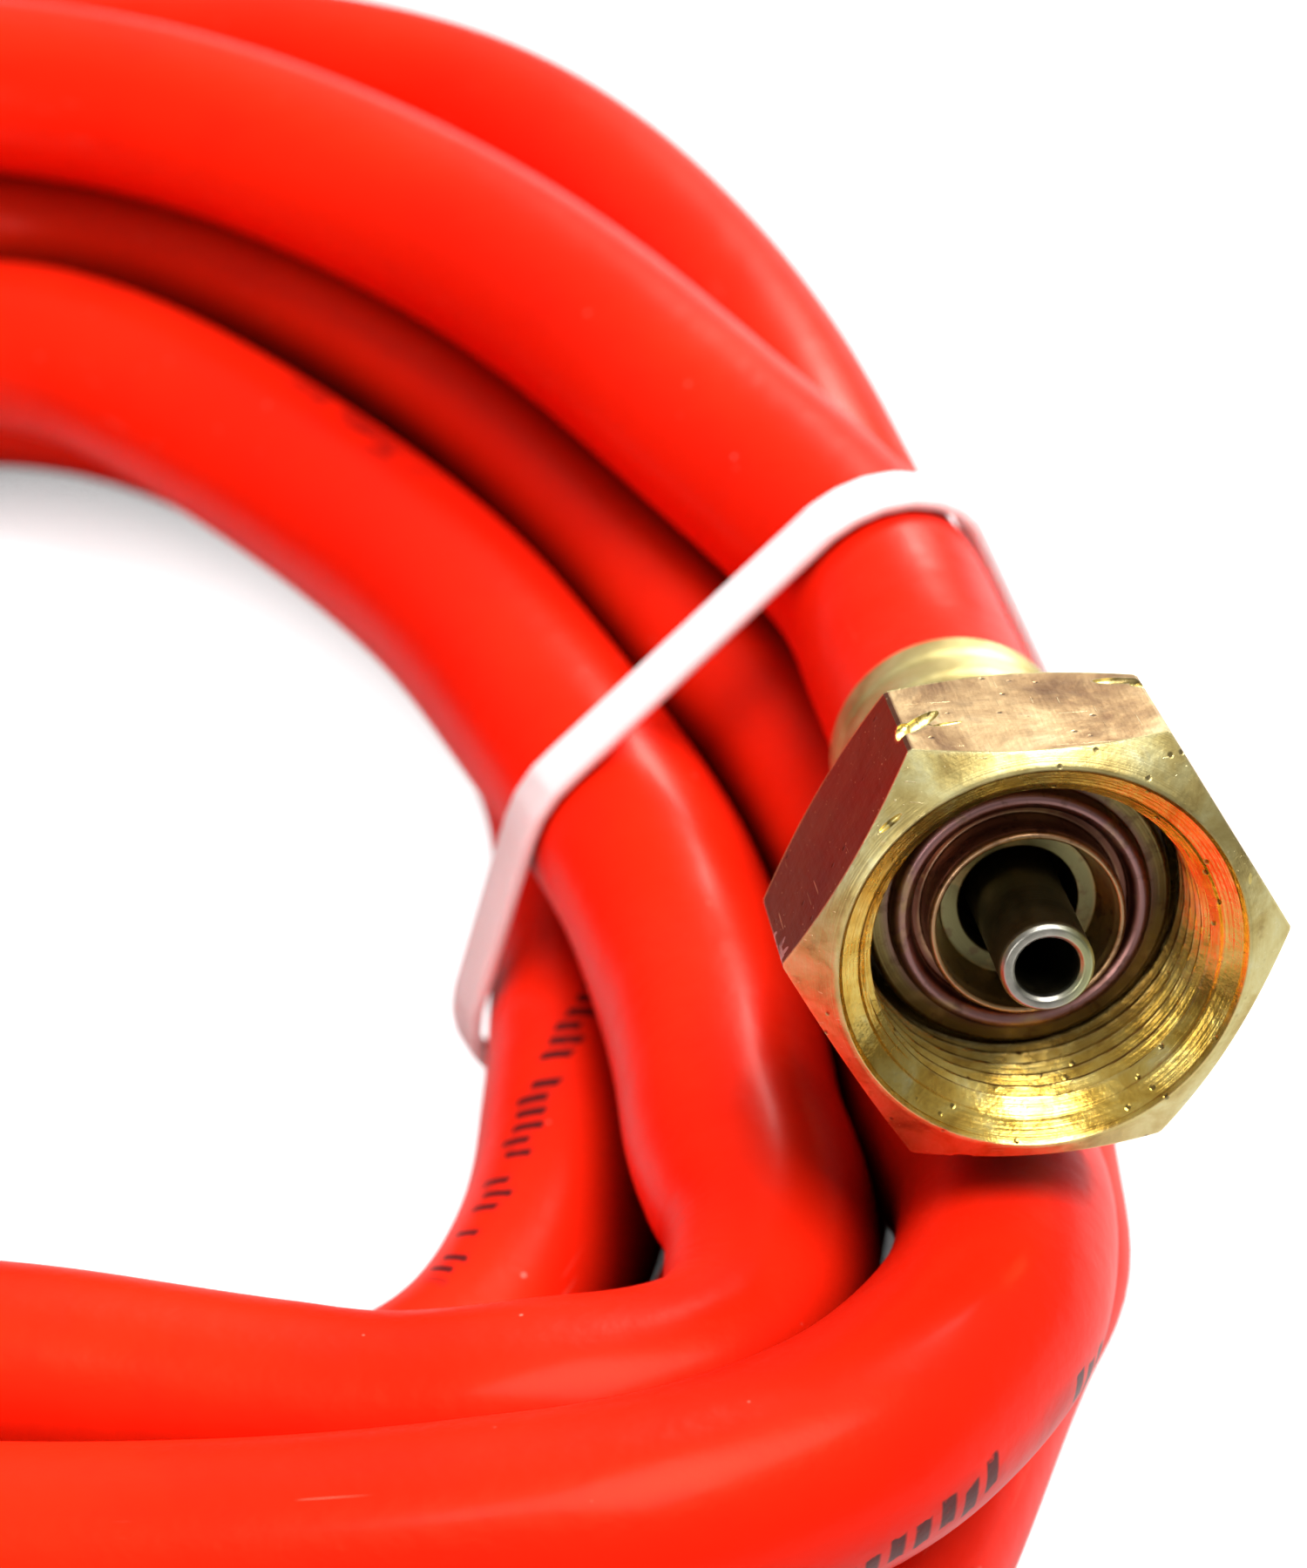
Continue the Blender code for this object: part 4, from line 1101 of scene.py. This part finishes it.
def threaded_plug():
    """Solid that fills the nut bore, thread included; removing it cuts the bore."""
    segments = 168
    minor, neck = THREAD_MINOR / 2, NUT_NECK_BORE / 2
    relief = minor + 0.75
    # (distance behind the mouth, radius) without the thread
    bore = ((-1.0, 13.45), (0.0, 12.45), (0.35, 12.2), (0.9, 11.45), (1.1, 11.15), (1.3, 11.0),
            (2.0, minor), (9.2, minor), (9.6, relief), (NUT_SHOULDER, relief),
            (NUT_SHOULDER + 0.001, neck), (NUT_LEN - 0.3, neck),
            (NUT_LEN, neck + 0.3), (NUT_LEN + 1.0, neck + 1.3))
    rows = [-1.0, 0.0, 0.15, 0.35, 0.6, 0.9, 1.1, 1.25, *np.arange(1.3, 9.75, 0.0625),
            9.9, 10.6, NUT_SHOULDER, NUT_SHOULDER + 0.001, NUT_LEN - 0.3, NUT_LEN, NUT_LEN + 1.0]
    stations, radii = zip(*bore)
    verts, faces = [], []
    for s in rows:
        plain = float(np.interp(s, stations, radii))
        for j in range(segments):
            a = 2 * math.pi * j / segments
            r = plain
            if 1.28 < s < 9.7:
                phase = (s / THREAD_PITCH + j / segments) % 1.0
                ridge = 1.0 - abs(phase - 0.5) * 2.0
                depth = min(1.0, max(0.0, (ridge - 0.14) / 0.76))
                fade = min(1.0, max(0.0, (s - 1.3) / 0.5)) * min(1.0, max(0.0, (9.6 - s) / 0.6))
                r = max(plain, minor + THREAD_HEIGHT * depth * fade)
            verts.append((r * MM * math.cos(a), r * MM * math.sin(a), -s * MM))
    n = len(rows)
    for i in range(n - 1):
        for j in range(segments):
            k = (j + 1) % segments
            faces.append((i * segments + j, (i + 1) * segments + j,
                          (i + 1) * segments + k, i * segments + k))
    faces.append(tuple(range(segments)))
    faces.append(tuple((n - 1) * segments + j for j in reversed(range(segments))))
    return new_object("plug", recalc(mesh_from("plug", verts, faces, smooth=False)))


def hex_bar(name):
    """Hexagonal bar with slightly rounded corners, four points to a corner."""
    verts, faces = [], []
    for s in (0.0, NUT_LEN):
        for k in range(6):
            for off in (-1.5, -0.5, 0.5, 1.5):
                a = math.radians(60.0 * k + off)
                r = min(NUT_CORNER - 0.08 * (1 - abs(off) / 1.6),
                        NUT_AF / 2 / math.cos(math.radians(30 - abs(off))))
                verts.append((r * MM * math.cos(a), r * MM * math.sin(a), -s * MM))
    n = 24
    for j in range(n):
        k = (j + 1) % n
        faces.append((j, n + j, n + k, k))
    faces.append(tuple(range(n)))
    faces.append(tuple(n + j for j in reversed(range(n))))
    return new_object(name, recalc(mesh_from(name, verts, faces, smooth=False)), NUT)


def chamfer_cone():
    """Turned blank that chamfers both ends of the bar."""
    rim = NUT_CORNER + 0.6
    drop = (rim - NUT_FACE) * CHAMFER_SLOPE
    profile = rounded([(0.001, -0.001), (NUT_FACE, -0.001), (rim, drop), (rim, NUT_LEN - drop),
                       (NUT_FACE, NUT_LEN + 0.001), (0.001, NUT_LEN + 0.001)], 0.3, 3)
    return new_object("cone", lathe("cone", profile, 168))


def mark_gashes(mesh, dents):
    """Mark the small faces that lie on a dent, for the fresh-metal colour."""
    co = np.empty(len(mesh.vertices) * 3, np.float32)
    mesh.vertices.foreach_get("co", co)
    co = co.reshape(-1, 3) / MM
    on_dent = np.zeros(len(co), bool)
    for centre, axes, radii in dents:
        q = ((co - np.array(centre)) @ np.array([list(v) for v in axes]).T) / np.array(radii)
        on_dent |= np.abs(np.linalg.norm(q, axis=1) - 1.0) < 0.04
    attribute = mesh.attributes.new("gash", "FLOAT", "CORNER")
    for p in mesh.polygons:
        hit = 1.0 if all(on_dent[v] for v in p.vertices) and p.area < 0.6e-6 else 0.0
        for corner in p.loop_indices:
            attribute.data[corner].value = hit


def nut_mesh(name, dents):
    body = hex_bar(name)
    boolean(body, [chamfer_cone()], "INTERSECT")
    if dents:
        boolean(body, [ellipsoid(*dent) for dent in dents], "DIFFERENCE")
    boolean(body, [threaded_plug()], "DIFFERENCE")
    mesh = body.data
    bpy.data.objects.remove(body, do_unlink=True)
    sharpen(mesh, 12)
    mark_gashes(mesh, dents)
    return mesh


# ---------------------------------------------------------------- turned parts
# closed profiles of (radius, distance behind the mouth)
SLIP_RING_PROFILE = [(5.6, 10.5), (10.0, 10.5), (10.0, 11.3), (5.6, 11.3)]
STEM_PROFILE = [(1.95, -0.75), (2.2, -1.0), (2.65, -1.0), (2.88, -0.7), (2.88, 26.0), (1.95, 26.0)]
NIPPLE_PROFILE = [
    (3.2, 36.9), (3.2, 14.2), (3.75, 13.6), (3.75, 8.5), (4.9, 8.5), (5.6, 6.2),
    (5.68, 5.25), (5.9, 5.15), (6.1, 5.3), (6.175, 5.6), (6.175, 8.2), (6.8, 8.2), (6.8, 7.5),
    (7.0, 7.0), (7.35, 6.8), (7.7, 6.8), (8.0, 7.0), (8.15, 7.4), (8.15, 8.1), (9.35, 8.1),
    (9.6, 8.4), (9.6, 10.2), (5.2, 10.2), (5.2, 19.5), (3.62, 19.5)]
for barb in np.arange(21.0, 33.0, 3.2):
    NIPPLE_PROFILE += [(3.25, barb), (3.62, barb + 2.6), (3.62, barb + 3.0)]


def ferrule_profile():
    """Sleeve with three shallow grooves round the outside."""
    profile = [(5.5, FERRULE_FROM), (7.85, FERRULE_FROM), (8.25, FERRULE_FROM + 0.5)]
    for groove in (22.6, 26.2, 29.8):
        profile += [(8.25, groove - 0.9), (8.0, groove - 0.5),
                    (8.0, groove + 0.5), (8.25, groove + 0.9)]
    return profile + [(8.25, FERRULE_TO - 0.4), (8.1, FERRULE_TO), (7.72, FERRULE_TO),
                      (7.72, 19.6), (5.5, 19.6)]


def crimp(a, s, r):
    """Eight shallow presses round the ferrule sleeve."""
    if r < 7.8 or not 20.5 < s < 32.0:
        return 0.0
    return -0.05 * (0.5 + 0.5 * math.cos(8 * a)) ** 3


def turned(name, profile, corner_radius, steps, segments, wobble=None):
    return sharpen(lathe(name, rounded(profile, corner_radius, steps), segments, wobble), 40)


def build_fittings():
    nuts = nut_mesh("union_nut_worn", worn_dents()), nut_mesh("union_nut_clean", [])
    for tag, (mouth, axis), nut in zip("ab", (END_A, END_B), nuts):
        z_axis = unit(axis)
        x_axis = unit(np.cross((0.0, 0.0, 1.0), z_axis))
        place = frame_matrix(x_axis, np.cross(z_axis, x_axis), z_axis, mouth - ORIGIN)
        # CAD node stem, mesh, material, body it rides on, material slot
        parts = (
            ("union_nut", nut, NUT, "nut_" + tag, "nut"),
            ("slip_ring", turned("slip_ring", SLIP_RING_PROFILE, 0.15, 3, 96), STEEL,
             "slip_ring_" + tag, "slip_ring"),
            ("nipple", turned("nipple", NIPPLE_PROFILE, 0.14, 4, 144), NIPPLE, "hose", "nipple"),
            ("stem_tube", turned("stem", STEM_PROFILE, 0.12, 4, 112), STEM, "hose", "stem"),
            ("ferrule", turned("ferrule", ferrule_profile(), 0.22, 4, 160, crimp), FERRULE,
             "hose", "ferrule"),
        )
        for part, mesh, material, body, slot in parts:
            ob = new_object(f"{part}_{tag}_body", mesh, material)
            ob.matrix_world = place
            dress(ob, body, f"{part}_{tag}")


# ----------------------------------------------------------------- cable ties
STRAP_STATIONS = 420
# strip with a shallow channel on its inner face, in half widths and half thicknesses
STRAP_SECTION = (
    (-1, -0.55), (-0.9, -1), (-0.55, -1), (-0.45, -0.8), (0.45, -0.8), (0.55, -1), (0.9, -1),
    (1, -0.55), (1, 0.45), (0.93, 0.8), (0.8, 0.96), (0.3, 1), (-0.3, 1), (-0.8, 0.96),
    (-0.93, 0.8), (-1, 0.45))


def hull(points):
    """Convex hull of 2-D points, counter-clockwise."""
    points = sorted(set((round(float(a), 5), round(float(b), 5)) for a, b in points))

    def half(sequence):
        out = []
        for p in sequence:
            while len(out) > 1 and ((out[-1][0] - out[-2][0]) * (p[1] - out[-2][1])
                                    - (out[-1][1] - out[-2][1]) * (p[0] - out[-2][0])) <= 0:
                out.pop()
            out.append(p)
        return out[:-1]
    return half(points) + half(points[::-1])


def strap_loop(base, along, normal):
    """Closed loop in the strap plane, tight round every strand that crosses it."""
    points = HOSE.points
    cloud = []
    reach = STRAP_W / 2 + 0.3
    for p0, p1 in zip(points[:-1], points[1:]):
        side_0, side_1 = (p0 - base) @ normal, (p1 - base) @ normal
        if min(side_0, side_1) > reach + 8 or max(side_0, side_1) < -reach - 8:
            continue
        if not -50.0 <= ((p0 + p1) / 2 - base) @ along <= 60.0:
            continue
        t = unit(p1 - p0)
        u = unit(np.cross(t, (0, 0, 1.0)))
        v = np.cross(t, u)
        n = int(np.linalg.norm(p1 - p0) / 0.4) + 2
        for f in np.linspace(0.0, 1.0, n):
            centre = p0 + f * (p1 - p0)
            for k in range(24):
                w = centre + HOSE_OD / 2 * (math.cos(k * math.pi / 12) * u
                                            + math.sin(k * math.pi / 12) * v)
                if abs((w - base) @ normal) <= reach:
                    cloud.append(((w - base) @ along, w[2]))
    grow = STRAP_GAP + STRAP_T / 2
    grown = []
    for x, z in hull(cloud):
        grown += [(x + grow * math.cos(k * math.pi / 8), z + grow * math.sin(k * math.pi / 8))
                  for k in range(16)]
    loop = np.array(hull(grown))
    loop = np.vstack([loop, loop[:1]])
    run = run_lengths(loop)
    wanted = np.linspace(0.0, run[-1], STRAP_STATIONS, endpoint=False)
    return np.stack([np.interp(wanted, run, loop[:, k]) for k in range(2)], 1)


def eased_loop(tight):
    """Stiff loop that bridges corners smoothly and never cuts inside the tight
    one, with its tangents and outward normals."""
    loop = tight
    for _ in range(90):
        loop = 0.5 * loop + 0.25 * (np.roll(loop, 1, 0) + np.roll(loop, -1, 0))
    tangent = np.roll(loop, -1, axis=0) - np.roll(loop, 1, axis=0)
    tangent = tangent / np.linalg.norm(tangent, axis=1)[:, None]
    outward = np.stack([tangent[:, 1], -tangent[:, 0]], 1)
    lift = ((tight - loop) * outward).sum(1).clip(0, None)
    return loop + outward * lift[:, None], tangent, outward


def strap_mesh(name, base, along, normal, loop, outward):
    section = [(a * STRAP_W / 2, b * STRAP_T / 2) for a, b in STRAP_SECTION]
    n, m = len(loop), len(section)
    verts, faces = [], []
    for i in range(n):
        for a, b in section:
            x, z = loop[i] + outward[i] * b
            verts.append((base + along * x + normal * a + np.array([0, 0, z]) - ORIGIN) * MM)
        k = (i + 1) % n
        for j in range(m):
            l = (j + 1) % m
            faces.append((i * m + j, i * m + l, k * m + l, k * m + j))
    mesh = recalc(mesh_from(name, verts, faces))
    length = run_lengths(loop)[-1]
    uv = mesh.uv_layers.new(name="strap")
    for p in mesh.polygons:
        for corner in p.loop_indices:
            v = mesh.loops[corner].vertex_index
            uv.data[corner].uv = (v // m * length / n * MM, section[v % m][0] * MM)
    return mesh


def head_and_end(name, place):
    """Locking head with a window, and the cut end of the strap beyond it."""
    head = new_object(name + "_head", bevelled_box(
        name + "_head", size=(6.0, 6.0, 4.0), centre=(0, 0, 0),
        offset=0.55 * MM, segments=4, profile=0.6), NYLON)
    window = new_object("window", bevelled_box(
        "window", size=(3.4, 2.6, 1.4), centre=(0, 0.6, 2.0), offset=0.15 * MM, segments=2))
    boolean(head, [window], "DIFFERENCE")
    head.data.uv_layers.new(name="strap")
    sharpen(head.data, 40)
    end_mesh = bevelled_box(name + "_end", size=(3.3, 6.4, 1.1), centre=(0, 5.0, 0.9),
                            offset=0.12 * MM, segments=2)
    end_mesh.uv_layers.new(name="strap")
    end = new_object(name + "_end", sharpen(end_mesh, 40), NYLON)
    for ob in (head, end):
        ob.matrix_world = place
        dress(ob, "hose")


def build_tie(node, point, degrees):
    name = node + "_strap"
    a = math.radians(degrees)
    along = np.array([math.cos(a), math.sin(a), 0.0])
    normal = np.array([-math.sin(a), math.cos(a), 0.0])
    base = np.array([point[0], point[1], 0.0])
    loop, tangent, outward = eased_loop(strap_loop(base, along, normal))
    strap = new_object(name, strap_mesh(name, base, along, normal, loop, outward), NYLON)
    dress(strap, "hose", node)

    def in_space(flat):
        return along * flat[0] + np.array([0, 0, flat[1]])

    # the head sits low at the far end of the loop in the strap's plan direction
    i = int(np.argmax(loop[:, 0] - np.abs(loop[:, 1] - 9.0) * 0.6))
    centre = base + in_space(loop[i] + outward[i] * 1.5) - ORIGIN
    z_axis = Vector(in_space(outward[i]).tolist()).normalized()
    y_axis = Vector(in_space(tangent[i]).tolist()).normalized()
    turn = Matrix((y_axis.cross(z_axis), y_axis, z_axis)).transposed().to_4x4()
    head_and_end(name, Matrix.Translation(Vector((centre * MM).tolist())) @ turn)


# ------------------------------------------------------- floor, light, camera
def build_floor():
    material = floor_material()
    h, z = FLOOR_HALF, FLOOR_Z
    mesh = mesh_from("floor", [(-h, -h, z), (h, -h, z), (h, h, z), (-h, h, z)],
                     [(0, 1, 2, 3)], smooth=False)
    new_object("floor", mesh, material)


def build_world():
    """Nearly black below the horizon, brightening to white overhead."""
    world = bpy.data.worlds.new("studio")
    bpy.context.scene.world = world
    world.use_nodes = True
    tree = world.node_tree
    background = tree.nodes.get("Background")
    coords = tree.nodes.new("ShaderNodeTexCoord")
    split = tree.nodes.new("ShaderNodeSeparateXYZ")
    ramp = tree.nodes.new("ShaderNodeValToRGB")
    height = tree.nodes.new("ShaderNodeMapRange")
    height.inputs["From Min"].default_value = -1.0
    tree.links.new(coords.outputs["Generated"], split.inputs[0])
    tree.links.new(split.outputs["Z"], height.inputs["Value"])
    tree.links.new(height.outputs[0], ramp.inputs[0])
    tree.links.new(ramp.outputs[0], background.inputs["Color"])
    low, high = ramp.color_ramp.elements
    low.position, low.color = 0.48, (0.05, 0.05, 0.052, 1)
    high.position, high.color = 0.80, (1.0, 1.0, 1.0, 1)
    background.inputs["Strength"].default_value = WORLD_LIGHT


def add_light(name, at, aim, width, depth, power):
    light = bpy.data.lights.new(name, "AREA")
    light.energy = power
    light.shape = "RECTANGLE"
    light.size, light.size_y = width, depth
    ob = new_object(name, light)
    ob.location = Vector(at)
    direction = (Vector(aim) - Vector(at)).normalized()
    ob.rotation_mode = "QUATERNION"
    ob.rotation_quaternion = direction.to_track_quat("-Z", "Y")


def build_camera():
    data = bpy.data.cameras.new("camera")
    data.sensor_width = CAMERA_SENSOR
    data.sensor_fit = "AUTO"
    data.lens = CAMERA_LENS
    data.clip_start, data.clip_end = 0.01, 50.0
    camera = new_object("camera", data)
    tilt = math.radians(CAMERA_TILT)
    view = np.array([0.0, math.cos(tilt), -math.sin(tilt)])
    right = np.array([1.0, 0.0, 0.0])
    camera.matrix_world = frame_matrix(right, np.cross(right, view), -view, CAMERA_AT - ORIGIN)
    focus = new_object("focus", None)
    focus.location = Vector(((MOUTH_A - ORIGIN + FOCUS_OFFSET) * MM).tolist())
    data.dof.use_dof = True
    data.dof.focus_object = focus
    data.dof.aperture_fstop = CAMERA_FSTOP
    bpy.context.scene.camera = camera


build_hose()
build_fittings()
for tie in STRAP_PLANES:
    build_tie(*tie)
build_floor()
build_world()
for light_values in LIGHTS:
    add_light(**light_values)
build_camera()

view_settings = bpy.context.scene.view_settings
view_settings.view_transform = "Standard"
view_settings.look = "None"
view_settings.exposure = 0.0

bpy.context.view_layer.update()
